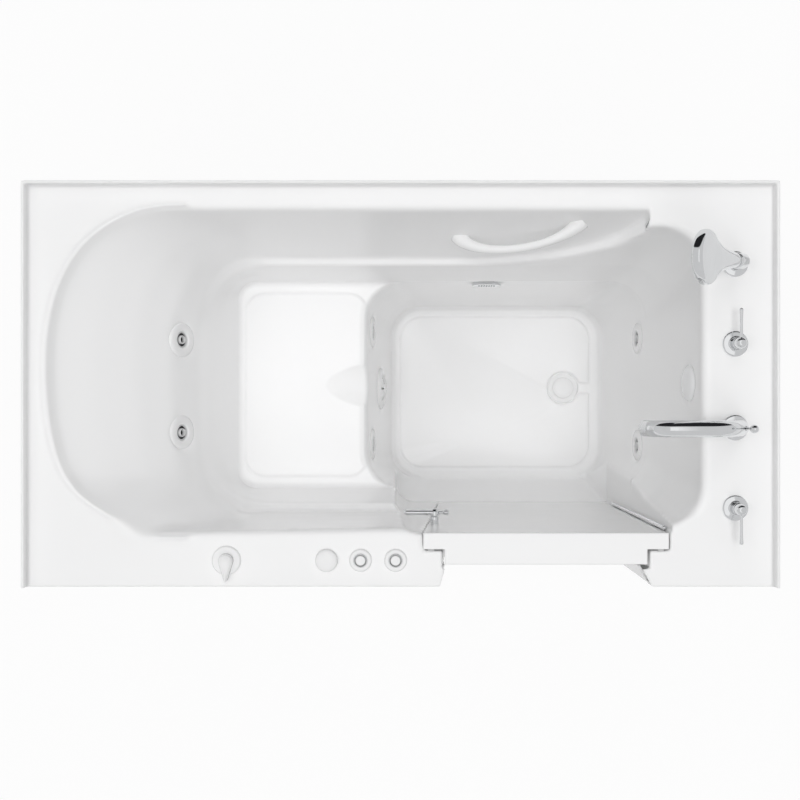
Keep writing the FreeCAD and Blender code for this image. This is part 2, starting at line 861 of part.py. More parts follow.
def latch_lever():
    base = at(latch_x, door_face + latch_boss_length, latch_height)
    hub = shaped(dome_shares, latch_hub_radius, latch_hub_length, base, at(0, 1, 0))
    y_low = base.y + (latch_hub_length - latch_bar_depth) * latch_bar_seat_share
    bar = block(latch_x - latch_bar_length, latch_x, y_low, y_low + latch_bar_depth,
                latch_height - latch_bar_tall / 2, latch_height + latch_bar_tall / 2)
    bar = bar.makeFillet(latch_bar_round, bar.Edges)
    middle = y_low + latch_bar_depth / 2
    tail_end = latch_x + latch_tail_length
    tail = rod(latch_tail_radius, at(latch_x, middle, latch_height), at(tail_end, middle, latch_height))
    ball_base = at(tail_end - latch_ball / 2, middle, latch_height)
    ball = shaped(ball_shares, latch_ball, latch_ball * 2, ball_base, at(1, 0, 0))
    return together([hub, bar, tail, ball])


# Panels round the front
panel_wall = 5.0
panel_set_back = 4.0
panel_low = 50.0
access_low = 150.0
access_high = 560.0
access_left_margin = 202.0
access_right_margin = 119.0
access_overlap = 20.0
access_wall = 4.0
screw_radius = 6.0
screw_height = 3.0
screw_inset = 10.0
edge_screw_inset = 20.0
access_screw_gap = 40.0
threshold_gap = 2.0

panel_face = front_edge + panel_set_back
panel_top = deck_height - lip_drop
access_left = left_end + access_left_margin
access_right = riser_foot - access_right_margin


def front_panel(x_low, x_high):
    """Flat skirt with a slanting side return beside the doorway."""
    face = block(x_low, x_high, panel_face, panel_face + panel_wall, panel_low, panel_top)
    room = block(x_low, x_high, panel_face, jamb_face, panel_low, panel_top)
    doorway = recess_slab(0, panel_low - overrun, panel_top + overrun)
    side = recess_slab(panel_wall, panel_low, panel_top).common(room)
    return together([face, side]).cut(doorway)


def front_panel_left():
    panel = front_panel(left_end, recess_left + recess_left_flare)
    hole = block(access_left, access_right, panel_face - overrun, panel_face + panel_wall + overrun,
                 access_low, access_high)
    return panel.cut(hole)


def front_panel_right():
    return front_panel(recess_right - recess_right_flare, right_end)


def access_panel():
    """Service cover behind the opening of the left panel."""
    back = panel_face + panel_wall
    plate = block(access_left - access_overlap, access_right + access_overlap, back, back + access_wall,
                  access_low - access_overlap, access_high + access_overlap)
    field = block(access_left + overrun, access_right - overrun, panel_face, back,
                  access_low + overrun, access_high - overrun)
    return together([plate, field])


def threshold_panel():
    """Skirt under the doorway, set back in line with the door."""
    top = door_bottom + plug_bottom_rise - plug_gap - shell_wall - threshold_gap
    return block(recess_left - panel_wall, recess_right + panel_wall, jamb_face, jamb_face + panel_wall,
                 panel_low, top)


def panel_screws():
    places = []
    for x in (left_end + edge_screw_inset, access_left - access_screw_gap, access_right + access_screw_gap,
              recess_left - edge_screw_inset, recess_right + edge_screw_inset, right_end - edge_screw_inset):
        places.append((x, panel_low + edge_screw_inset, panel_face))
    for x in (access_left + screw_inset, access_right - screw_inset):
        for z in (access_low + screw_inset, access_high - screw_inset):
            places.append((x, z, panel_face))
    return Part.makeCompound([shaped(dome_shares, screw_radius, screw_height, at(x, y, z), at(0, -1, 0))
                              for x, z, y in places])


# Frame under the shell
tube = 30.0
tube_wall = 2.5
rail_inset = 10.0
foot_height = 12.0
foot_radius = 25.0
stem_radius = 6.0
nut_radius = 11.0
nut_height = 8.0
end_rail_inset = 42.0
corner_post_inset = 27.0
foot_post_inset = 172.0
inner_foot_inset = 522.0
seat_bar_reaches = (78.0, 183.0)
riser_rail_reach = 39.0
well_rail_reach = 81.0
drain_rail_before = 110.0
drain_rail_after = 70.0

rail_top = gutter_height - shell_wall
rail_low = rail_top - tube
rail_back = back_edge - rail_inset
rail_front = jamb_face + panel_wall + tube
seat_under = seat_gutter - shell_wall
seat_bar_places = tuple(seat_rear + reach for reach in seat_bar_reaches)
end_rails = (left_end + end_rail_inset, right_end - end_rail_inset)
cross_rail_places = end_rails + (seat_rear, riser_foot - riser_rail_reach, riser_foot + well_rail_reach,
                                 drain_x - drain_rail_before, drain_x + drain_rail_after)
upright_places = (left_end + corner_post_inset, right_end - corner_post_inset,
                  right_end - foot_post_inset) + seat_bar_places
foot_places = end_rails + (left_end + inner_foot_inset, right_end - inner_foot_inset)


def square_tube(x_low, x_high, y_low, y_high, z_low, z_high, run):
    """Square tube open at both ends of its run axis (0 for X, 1 for Y, 2 for Z)."""
    lows, highs = [x_low, y_low, z_low], [x_high, y_high, z_high]
    inside_low = [low + tube_wall for low in lows]
    inside_high = [high - tube_wall for high in highs]
    inside_low[run] = lows[run] - overrun
    inside_high[run] = highs[run] + overrun
    solid = block(lows[0], highs[0], lows[1], highs[1], lows[2], highs[2])
    return solid.cut(block(inside_low[0], inside_high[0], inside_low[1], inside_high[1],
                           inside_low[2], inside_high[2]))


def long_rails():
    ends = (left_end + rail_inset, right_end - rail_inset)
    return Part.makeCompound([
        square_tube(ends[0], ends[1], y, y + tube, rail_low, rail_top, 0)
        for y in (rail_front - tube, rail_back - tube)])


def cross_rails():
    return Part.makeCompound([
        square_tube(x - tube / 2, x + tube / 2, rail_front, rail_back - tube, rail_low, rail_top, 1)
        for x in cross_rail_places])


def uprights():
    top = deck_height - shell_wall
    return Part.makeCompound([
        square_tube(x - tube / 2, x + tube / 2, y, y + tube, rail_top, top, 2)
        for x in upright_places for y in (rail_front - tube, rail_back - tube)])


def seat_bars():
    return Part.makeCompound([
        square_tube(x - tube / 2, x + tube / 2, rail_front, rail_back - tube,
                    seat_under - tube, seat_under, 1)
        for x in seat_bar_places])


def foot_spots():
    return [(x, y + tube / 2) for x in foot_places for y in (rail_front - tube, rail_back - tube)]


def levelling_feet():
    feet = []
    for x, y in foot_spots():
        pad = shaped(disc_shares, foot_radius, foot_height, at(x, y, 0), at(0, 0, 1))
        feet.append(together([pad, rod(stem_radius, at(x, y, foot_height / 2), at(x, y, rail_low))]))
    return Part.makeCompound(feet)


def lock_nuts():
    nuts = []
    for x, y in foot_spots():
        corners = [at(x + nut_radius * math.cos(math.pi / 3 * k), y + nut_radius * math.sin(math.pi / 3 * k),
                      rail_low - nut_height) for k in range(7)]
        blank = Part.Face(Part.makePolygon(corners)).extrude(at(0, 0, nut_height))
        under = at(x, y, rail_low - nut_height - overrun)
        hole = rod(stem_radius + running_gap, under, at(x, y, rail_low + overrun))
        nuts.append(blank.cut(hole))
    return Part.makeCompound(nuts)


# Jets, light and pump set
suction_run = 100.0
volute_radius = 85.0
volute_length = 60.0
volute_rim = 12.0
motor_radius = 60.0
motor_length = 150.0
motor_rings = 6
motor_ring_rise = 5.0
motor_ring_width = 5.0
motor_foot_width = 70.0
board_thickness = 12.0
board_left_reach = 32.0
board_right_margin = 39.0
board_half_width = 170.0
suction_pipe_radius = 24.0
delivery_radius = 20.0
delivery_bend = 45.0
delivery_rise = 80.0
manifold_margin = 110.0
manifold_right_margin = 79.0
manifold_radius = 24.0
manifold_barbs = 6
barb_radius = 8.0
barb_length = 30.0
stub_length = 12.0
control_box_inset = 20.0
control_box_length = 90.0
control_box_width = 60.0
control_box_side_inset = 5.0
control_box_tall = 150.0
control_box_round = 8.0

board_top = rail_top + board_thickness
board_left = seat_rear - board_left_reach
board_right = riser_foot - board_right_margin
manifold_y = back_edge - manifold_margin
manifold_left = board_left
manifold_right = riser_foot - manifold_right_margin


def jet_escutcheons():
    rings = []
    for point, facing in jet_ports():
        outline = [(jet_mouth, 0), (jet_radius, 0), (jet_radius, jet_rise / 2),
                   (jet_radius - jet_rise, jet_rise), (jet_mouth + jet_rise / 2, jet_rise),
                   (jet_mouth, jet_rise / 2)]
        rings.append(turned(outline, port_seat(point, facing), facing))
    return Part.makeCompound(rings)


def jet_nozzle(point, facing):
    """Turning nozzle: a raised throat inside a sunk groove and a narrow rim."""
    radius = jet_mouth - sit_gap
    outline = [(jet_throat, -jet_nozzle_depth), (radius, -jet_nozzle_depth), (radius, jet_rise / 2),
               (nozzle_rim, jet_rise / 2), (nozzle_rim, -nozzle_groove), (nozzle_lip, -nozzle_groove),
               (nozzle_lip, jet_rise / 2), ((nozzle_lip + jet_throat) / 2, jet_rise),
               (jet_throat, jet_rise / 2)]
    return turned(outline, port_seat(point, facing), facing)


def jet_bodies():
    bodies = []
    for point, facing in jet_ports():
        barrel = jet_hole - sit_gap
        depth = jet_nozzle_depth + sit_gap
        tail = -jet_body_depth - jet_tail_length
        outline = [(0, tail), (jet_tail_radius, tail),
                   (jet_tail_radius, -jet_body_depth), (barrel, -jet_body_depth),
                   (barrel, -shell_wall - jet_nut_height), (jet_nut_radius, -shell_wall - jet_nut_height),
                   (jet_nut_radius, -shell_wall), (barrel, -shell_wall), (barrel, 0), (jet_mouth, 0),
                   (jet_mouth, -depth), (0, -depth)]
        bodies.append(turned(outline, port_seat(point, facing), facing))
    return Part.makeCompound(bodies)


def suction_cover():
    """Domed strainer with radial slots."""
    point, facing = riser_port(0, suction_height)
    seat = port_seat(point, facing)
    cover = shaped(dome_shares, suction_radius, suction_rise, at(0, 0, 0), at(0, 0, 1))
    hollow = shaped(dome_shares, suction_radius - shell_wall, suction_rise - shell_wall / 2,
                    at(0, 0, 0), at(0, 0, 1))
    cover = cover.cut(hollow)
    start, end = [suction_radius * share for share in suction_slot_shares]
    slot = block(start, end, -suction_slot_width / 2, suction_slot_width / 2, 0, suction_rise + overrun)
    for index in range(suction_slots):
        turn = slot.copy()
        turn.rotate(at(0, 0, 0), at(0, 0, 1), 360 * index / suction_slots)
        cover = cover.cut(turn)
    cover.Placement = FreeCAD.Placement(seat, FreeCAD.Rotation(at(0, 0, 1), facing))
    return cover


def suction_end():
    """Middle of the suction body's tail and the direction it leaves in."""
    point, facing = riser_port(0, suction_height)
    return port_seat(point, facing) - facing * (shell_wall + suction_tail * 2), facing * -1


def suction_body():
    point, facing = riser_port(0, suction_height)
    barrel = suction_hole - sit_gap
    length = shell_wall + suction_tail * 2
    outline = [(barrel - shell_wall, 0), (barrel, 0), (barrel, -shell_wall),
               (barrel + shell_wall, -shell_wall), (barrel + shell_wall, -shell_wall - jet_nut_height),
               (suction_pipe_radius + shell_wall, -shell_wall - suction_tail),
               (suction_pipe_radius + shell_wall / 2, -length), (suction_pipe_radius - shell_wall, -length),
               (suction_pipe_radius - shell_wall, -shell_wall - suction_tail)]
    return turned(outline, port_seat(point, facing), facing)


def volute_centre():
    start, leaving = suction_end()
    return start + leaving * suction_run


def suction_pipe():
    """Straight pipe from the suction body to the pump's inlet stub."""
    start, leaving = suction_end()
    stub = volute_centre() - leaving * (volute_length / 2 + stub_length)
    return rod(suction_pipe_radius, start, stub)


def pump_volute():
    """Round pump casing with an inlet stub in line with the suction and a delivery stub on top."""
    centre = volute_centre()
    leaving = suction_end()[1]
    half = volute_length / 2
    outline = [(0, -half), (volute_radius - volute_rim, -half), (volute_radius, -half + volute_rim),
               (volute_radius, half - volute_rim), (volute_radius - volute_rim, half), (0, half)]
    casing = turned(outline, centre, at(1, 0, 0))
    inlet = rod(suction_pipe_radius + shell_wall, centre, centre - leaving * (half + stub_length))
    outlet = rod(delivery_radius + shell_wall / 2, centre, centre + at(0, 0, volute_radius + stub_length))
    return together([casing, inlet, outlet])


def pump_motor():
    """Ribbed motor on a foot, bolted to the back of the volute."""
    centre = volute_centre() - at(volute_length / 2, 0, 0)
    tail = centre - at(motor_length, 0, 0)
    solids = [rod(motor_radius, tail, centre)]
    pitch = motor_length / (motor_rings + 1)
    for index in range(motor_rings):
        spot = tail + at(pitch * (index + 1), 0, 0)
        solids.append(rod(motor_radius + motor_ring_rise, spot - at(motor_ring_width / 2, 0, 0),
                          spot + at(motor_ring_width / 2, 0, 0)))
    solids.append(block(tail.x + pitch, centre.x - pitch, -motor_foot_width / 2, motor_foot_width / 2,
                        board_top, centre.z))
    return together(solids)


def pump_board():
    return block(board_left, board_right, -board_half_width, board_half_width, rail_top, board_top)


def delivery_pipe():
    """Pipe from the top of the pump across to the manifold."""
    start = volute_centre() + at(0, 0, volute_radius + stub_length)
    corner = start + at(0, 0, delivery_rise - stub_length)
    end = at(corner.x, manifold_y - manifold_radius - stub_length, corner.z)
    return bent_pipe([start, corner, end], delivery_radius, [delivery_bend])


def jet_manifold():
    """Capped pipe along the back with a barb for the hose of each jet."""
    centre = volute_centre()
    z = centre.z + volute_radius + delivery_rise
    pipe = rod(manifold_radius, at(manifold_left, manifold_y, z), at(manifold_right, manifold_y, z))
    inlet = rod(delivery_radius + shell_wall / 2, at(centre.x, manifold_y, z),
                at(centre.x, manifold_y - manifold_radius - stub_length, z))
    pitch = (manifold_right - manifold_left) / manifold_barbs
    barbs = []
    for index in range(manifold_barbs):
        x = manifold_left + pitch * (index + round_share)
        low = z - manifold_radius - barb_length
        barbs.append(rod(barb_radius, at(x, manifold_y, z), at(x, manifold_y, low)))
    return together([pipe, inlet] + barbs)


def control_box():
    left = board_left + control_box_inset
    front = control_box_side_inset - board_half_width
    box = block(left, left + control_box_length, front, front + control_box_width,
                board_top, board_top + control_box_tall)
    upright_edges = [edge for edge in box.Edges
                     if abs(edge.Vertexes[0].Z - edge.Vertexes[1].Z) > control_box_round]
    return box.makeFillet(control_box_round, upright_edges)


def light_lens():
    point, facing = foot_wall_port(light_y, light_height)
    return shaped(dome_shares, light_radius, light_rise, port_seat(point, facing), facing)


def light_housing():
    point, facing = foot_wall_port(light_y, light_height)
    barrel = light_hole - sit_gap
    outline = [(0, 0), (barrel, 0), (barrel, -shell_wall), (light_radius, -shell_wall),
               (light_radius, -shell_wall - jet_nut_height), (barrel, -shell_wall - jet_nut_height),
               (barrel, -light_depth), (0, -light_depth)]
    return turned(outline, port_seat(point, facing), facing)


def overflow_cover():
    """Slotted oblong cover; its back sits in the round seat of the port."""
    point, facing = overflow_port()
    half = overflow_tall / 2
    reach = overflow_width / 2 - half
    plate = block(-reach, reach, -half, half, 0, overflow_rise)
    ends = [rod(half, at(side * reach, 0, 0), at(side * reach, 0, overflow_rise)) for side in (-1, 1)]
    cover = together([plate] + ends)
    pitch = reach * 2 / (overflow_slots - 1)
    for index in range(overflow_slots):
        x = pitch * index - reach
        cover = cover.cut(block(x - overflow_slot_width / 2, x + overflow_slot_width / 2,
                                -half / 2, half / 2, overflow_rise / 2, overflow_rise + overrun))
    cover.Placement = FreeCAD.Placement(port_seat(point, facing), FreeCAD.Rotation(at(0, 0, 1), facing))
    return cover


def overflow_elbow():
    point, facing = overflow_port()
    seat = port_seat(point, facing)
    barrel = overflow_hole - sit_gap
    out = seat - facing * overflow_elbow_reach
    neck = rod(barrel, seat, out)
    nut = rod(barrel + shell_wall, seat - facing * shell_wall, seat - facing * (shell_wall + jet_nut_height))
    socket = barrel + overflow_socket
    drop = rod(socket, out + at(0, 0, socket), out - at(0, 0, overflow_elbow_reach))
    return together([neck, nut, drop])


# Waste at the foot of the well
drain_flange_radius = 43.0
drain_flange_rise = 4.0
stopper_radius = 29.0
stopper_rise = 7.0
stopper_stem = 6.0
stopper_stem_length = 24.0
drain_tail_radius = 19.0
drain_tail_low = 25.0
drain_nut_radius = 38.0
drain_nut_low = 24.0
drain_neck_low = 32.0
drain_bore = 16.0
drain_mouth = 22.0
guide_wall = 3.0
guide_low = 22.0
guide_high = 4.0
spoke_width = 4.0
spoke_high = 10.0


def drain_flange():
    base = at(drain_x, drain_y, gutter_height)
    outline = [(stopper_radius - drain_flange_rise, 0), (drain_flange_radius, 0),
               (drain_flange_radius - drain_flange_rise, drain_flange_rise),
               (stopper_radius + sit_gap, drain_flange_rise), (stopper_radius - drain_flange_rise, sit_gap)]
    return turned(outline, base, at(0, 0, 1))


def drain_stopper():
    """Lifting disc on a stem that runs in the drain body."""
    base = at(drain_x, drain_y, gutter_height + drain_flange_rise + sit_gap)
    cap = shaped(dome_shares, stopper_radius, stopper_rise, base, at(0, 0, 1))
    stem = rod(stopper_stem, base - at(0, 0, stopper_stem_length), base + at(0, 0, stopper_rise / 2))
    return together([cap, stem])


def drain_body():
    """Open waste body under the floor; spokes carry the guide that the stopper's stem runs in."""
    floor = at(drain_x, drain_y, gutter_height)
    barrel = drain_hole - sit_gap
    low = drain_tail_low - gutter_height
    outline = [
        (drain_bore, low), (drain_tail_radius, low), (drain_tail_radius, -drain_neck_low),
        (barrel, -drain_nut_low), (drain_nut_radius, -drain_nut_low), (drain_nut_radius, -shell_wall),
        (barrel, -shell_wall), (barrel, 0), (drain_mouth, 0), (drain_mouth, -drain_nut_low),
        (drain_bore, -drain_neck_low),
    ]
    body = turned(outline, floor, at(0, 0, 1))
    hub = rod(stopper_stem + guide_wall, floor - at(0, 0, guide_low), floor - at(0, 0, guide_high))
    spokes = []
    for along in (at(drain_mouth, 0, 0), at(0, drain_mouth, 0)):
        across = at(along.y, along.x, 0).normalize() * (spoke_width / 2)
        corner = floor - along - across - at(0, 0, guide_low)
        face = Part.Face(Part.makePolygon([corner, corner + along * 2, corner + along * 2 + across * 2,
                                           corner + across * 2, corner]))
        spokes.append(face.extrude(at(0, 0, guide_low - spoke_high)))
    bore = rod(stopper_stem + running_gap, floor - at(0, 0, guide_low + overrun), floor)
    return together([body, hub] + spokes).cut(bore)


# Grab bar on the back wall
bar_left_share = 0.028
bar_left_height = 800.0
bar_right_share = 0.67
bar_right_height = 873.0
bar_radius = 11.0
bar_foot_radius = 17.0
bar_foot_rise = 10.0
bar_stand = 42.0
bar_bend = 55.0


def back_wall_point(x, z):
    """Point on the upper back wall and the direction out of the wall."""
    share = (z - armrest_height) / (rim_height - armrest_height)
    run = armrest_back_margin - rim_back_margin
    y = upper_sizes(share)["back"]
    return at(x, y, z), at(0, -(rim_height - armrest_height), run).normalize()


def grab_bar():
    left, out = back_wall_point(blend(ramp_start, ramp_end, bar_left_share), bar_left_height)
    right, out = back_wall_point(blend(ramp_start, ramp_end, bar_right_share), bar_right_height)
    along = (right - left).normalize()
    path = [left, left + out * bar_stand + along * bar_stand / 2,
            right + out * bar_stand - along * bar_stand / 2, right]
    bar = bent_pipe(path, bar_radius, [bar_bend, bar_bend])
    feet = [shaped(disc_shares, bar_foot_radius, bar_foot_rise, spot, out) for spot in (left, right)]
    behind = [rod(bar_bend, spot - out * bar_bend, spot) for spot in (left, right)]
    return together([bar] + feet).cut(Part.makeCompound(behind))


# Taps and hand shower on the foot deck
bell_radius = 26.0
bell_height = 24.0
lever_hub_radius = 12.5
lever_hub_height = 24.0
lever_length = 66.0
lever_root = 2.9
lever_height_share = 0.67
lever_tip = 4.5
shank_radius = 10.5
shank_length = 60.0
shank_nut = 18.0
shank_nut_height = 10.0
spout_radius = 16.5
spout_root = 12.0
spout_lean = 45.0
spout_rise = 82.0
spout_run = 128.0
spout_mouth_lean = 20.0
spout_mouth_drop = 56.0
spout_bends = (22.0, 58.0, 35.0)
spout_bore = 12.5
spout_bore_depth = 24.0
diverter_offset = 1.0
diverter_radius = 3.0
diverter_ball = 8.5
diverter_low = 22.0
diverter_high = 88.0
diverter_collar = 6.0
diverter_collar_top = 40.0
diverter_bore_low = 21.0
shower_lean = 38.0
shower_handle_radius = 11.0
shower_handle_length = 150.0
shower_head_radius = 52.0
shower_head_thickness = 22.0
shower_cradle_radius = 16.0
shower_cradle_length = 34.0
shower_cradle_stand = 44.0
shower_stop = 4.0
spray_plate_share = 0.8
neck_length = 80.0
neck_place_shares = (0.0, 0.35, 0.62, 0.82, 1.0)
neck_width_shares = (0.24, 0.28, 0.42, 0.68, 0.86)
neck_depth = 12.0
neck_back = 2.0


def tap_spots():
    return [at(tap_x, y, deck_height) for y in (upper_lever_y, spout_y, lower_lever_y)]


def tap_escutcheons():
    return Part.makeCompound([shaped(bell_shares, bell_radius, bell_height, spot, at(0, 0, 1))
                              for spot in tap_spots()])


def lever_handle(y, side):
    """Hub and lever of a quarter-turn tap; side is the way the lever points."""
    base = at(tap_x, y, deck_height + bell_height + sit_gap)
    hub = shaped(disc_shares, lever_hub_radius, lever_hub_height, base, at(0, 0, 1))
    root = base + at(0, 0, lever_hub_height * lever_height_share)
    lever = Part.makeCone(lever_root, lever_tip, lever_length, root, at(0, side, 0))
    tip = shaped(dome_shares, lever_tip, lever_tip, root + at(0, side * lever_length, 0), at(0, side, 0))
    return together([hub, lever, tip])


def tap_shanks():
    """Threaded shanks and back nuts under the deck, on the two valves and the spout."""
    under = -shell_wall
    shanks = []
    for spot in tap_spots():
        outline = [(0, 0), (shank_radius, 0), (shank_radius, under), (shank_nut, under),
                   (shank_nut, under - shank_nut_height), (shank_radius, under - shank_nut_height),
                   (shank_radius, -shank_length), (0, -shank_length)]
        shanks.append(turned(outline, spot, at(0, 0, 1)))
    return Part.makeCompound(shanks)


def diverter_place(height):
    """Point on the diverter's axis at a height over the spout's foot."""
    return at(tap_x + diverter_offset, spout_y, deck_height + bell_height + height)


def diverter_rod(radius, low, high):
    return rod(radius, diverter_place(low), diverter_place(high))


def spout():
    """Tube that leans out of its bell, runs level over the well and turns down to an open mouth."""
    foot = at(tap_x, spout_y, deck_height + bell_height)
    root = foot + at(0, 0, spout_root)
    shoulder = foot + at(-spout_lean, 0, spout_rise)
    bend = shoulder - at(spout_run, 0, 0)
    mouth = bend - at(spout_mouth_lean, 0, spout_mouth_drop)
    tube_run = bent_pipe([foot, root, shoulder, bend, mouth], spout_radius, spout_bends)
    inward = (bend - mouth).normalize()
    mouth_bore = rod(spout_bore, mouth - inward * overrun, mouth + inward * spout_bore_depth)
    collar = diverter_rod(diverter_collar, diverter_bore_low, diverter_collar_top)
    bore = diverter_rod(diverter_radius + running_gap, diverter_bore_low, diverter_high)
    return together([tube_run, collar]).cut(bore).cut(mouth_bore)


def diverter_knob():
    """Lift rod that runs in the spout's collar, with a ball to pull it by."""
    stem = diverter_rod(diverter_radius, diverter_low, diverter_high)
    base = diverter_place(diverter_high - diverter_radius)
    ball = shaped(ball_shares, diverter_ball, diverter_ball * 2, base, at(0, 0, 1))
    return together([stem, ball])


def shower_axis():
    lean = math.radians(shower_lean)
    return at(-math.sin(lean), 0, math.cos(lean))


def cradle_foot():
    return at(tap_x, shower_y, deck_height + shower_cradle_stand)


def shower_holder():
    """Bell foot with a slanting socket for the handle."""
    axis = shower_axis()
    foot = cradle_foot()
    bell = shaped(bell_shares, bell_radius, bell_height, at(tap_x, shower_y, deck_height), at(0, 0, 1))
    neck = rod(shank_radius, at(tap_x, shower_y, deck_height + bell_height / 2), foot)
    socket = rod(shower_cradle_radius, foot - axis * shower_stop, foot + axis * shower_cradle_length)
    bore = rod(shower_handle_radius + sit_gap, foot, foot + axis * (shower_cradle_length + overrun))
    return together([bell, neck, socket]).cut(bore)


def shower_neck(centre, axis, facing):
    """Trumpet that spreads the round handle out to the width of the head."""
    sections = []
    turn = FreeCAD.Rotation(at(0, 1, 0), facing, axis, "ZXY")
    for place, width in zip(neck_place_shares, neck_width_shares):
        oval = Part.Ellipse(at(0, 0, 0), shower_head_radius * width, neck_depth).toShape()
        spot = centre - axis * neck_length * (1 - place) - facing * neck_back
        oval.Placement = FreeCAD.Placement(spot, turn)
        sections.append(Part.Wire([oval]))
    return Part.makeLoft(sections, True, False)


def hand_shower():
    """Straight handle with a round head set flat along it."""
    axis = shower_axis()
    facing = at(-axis.z, 0, axis.x)
    start = cradle_foot() + axis * sit_gap
    end = start + axis * shower_handle_length
    centre = end + axis * (shower_head_radius / 2)
    handle = rod(shower_handle_radius, start, centre - axis * (neck_length - neck_depth))
    head = shaped(disc_shares, shower_head_radius, shower_head_thickness / 2, centre, facing)
    back = shaped(dome_shares, shower_head_radius, shower_head_thickness / 2, centre, facing * -1)
    plate_front = centre + facing * (shower_head_thickness / 2 + overrun)
    plate = rod(shower_head_radius * spray_plate_share, centre, plate_front)
    return together([handle, shower_neck(centre, axis, facing), head, back, plate])


# Controls on the front deck
knob_base_radius = 29.5
knob_base_rise = 5.0
knob_radius = 15.0
knob_tip = 41.6
knob_rise = 20.0
knob_tip_round = 4.0
dial_radius = 23.0
dial_base_rise = 3.0
dial_rise = 9.0
bezel_radius = 23.0
bezel_rise = 5.0
bezel_bore = 14.0
trim_radius = 13.5
trim_bore = 12.0
trim_rise = 6.5
button_radius = 11.7
button_rise = 7.5
button_depth = 30.0
button_travel = 3.0
control_stem = 13.0
control_depth = 30.0
control_nut = 19.0


def control_base(x, radius, rise):
    """Round base on the deck with a threaded barrel and nut under it."""
    under = -shell_wall
    outline = [(0, -control_depth), (control_stem, -control_depth), (control_stem, under - shank_nut_height),
               (control_nut, under - shank_nut_height), (control_nut, under), (control_stem, under),
               (control_stem, 0), (radius, 0), (radius, rise / 2), (radius - rise / 2, rise), (0, rise)]
    return turned(outline, at(x, control_y, deck_height), at(0, 0, 1))


def drain_knob_base():
    return control_base(drain_knob_x, knob_base_radius, knob_base_rise)


def drain_knob():
    """Teardrop knob: a round body drawn out to a narrow tip."""
    low = deck_height + knob_base_rise + sit_gap
    body = shaped(dome_shares, knob_radius, knob_rise, at(drain_knob_x, control_y, low), at(0, 0, 1))
    reach = knob_tip - knob_tip_round
    turn = math.acos((knob_radius - knob_tip_round) / reach)
    across, along = math.sin(turn), math.cos(turn)
    tip_y = control_y - reach
    points = [
        at(drain_knob_x - knob_radius * across, control_y - knob_radius * along, low),
        at(drain_knob_x - knob_tip_round * across, tip_y - knob_tip_round * along, low),
        at(drain_knob_x, tip_y - knob_tip_round, low),
        at(drain_knob_x + knob_tip_round * across, tip_y - knob_tip_round * along, low),
        at(drain_knob_x + knob_radius * across, control_y - knob_radius * along, low),
    ]
    edges = [Part.makeLine(points[0], points[1]), Part.Arc(*points[1:4]).toShape(),
             Part.makeLine(points[3], points[4]), Part.makeLine(points[4], points[0])]
    wedge = Part.Face(Part.Wire(edges)).extrude(at(0, 0, knob_rise * round_share))
    return together([body, wedge])


def air_control_base():
    return control_base(air_control_x, dial_radius, dial_base_rise)


def air_control_cap():
    low = deck_height + dial_base_rise + sit_gap
    return shaped(dome_shares, dial_radius, dial_rise, at(air_control_x, control_y, low), at(0, 0, 1))


def button_spots():
    return [at(x, control_y, deck_height) for x in (jets_button_x, light_button_x)]


def button_bezels():
    """White surrounds with a barrel below for the button to run in."""
    under = -shell_wall
    bezels = []
    for spot in button_spots():
        outline = [(0, -control_depth - trim_rise), (control_stem, -control_depth - trim_rise),
                   (control_stem, under - shank_nut_height),
                   (control_nut, under - shank_nut_height), (control_nut, under), (control_stem, under),
                   (control_stem, 0), (bezel_radius, 0), (bezel_radius, bezel_rise / 2),
                   (bezel_radius - bezel_rise / 2, bezel_rise), (bezel_bore, bezel_rise),
                   (bezel_bore, overrun), (trim_bore, overrun), (trim_bore, -control_depth),
                   (0, -control_depth)]
        bezels.append(turned(outline, spot, at(0, 0, 1)))
    return Part.makeCompound(bezels)


def button_rings():
    return Part.makeCompound([ring(trim_radius, trim_bore, overrun, trim_rise, spot, at(0, 0, 1))
                              for spot in button_spots()])


def push_button(spot):
    base = spot + at(0, 0, button_rise - button_depth)
    return shaped(disc_shares, button_radius, button_depth, base, at(0, 0, 1))


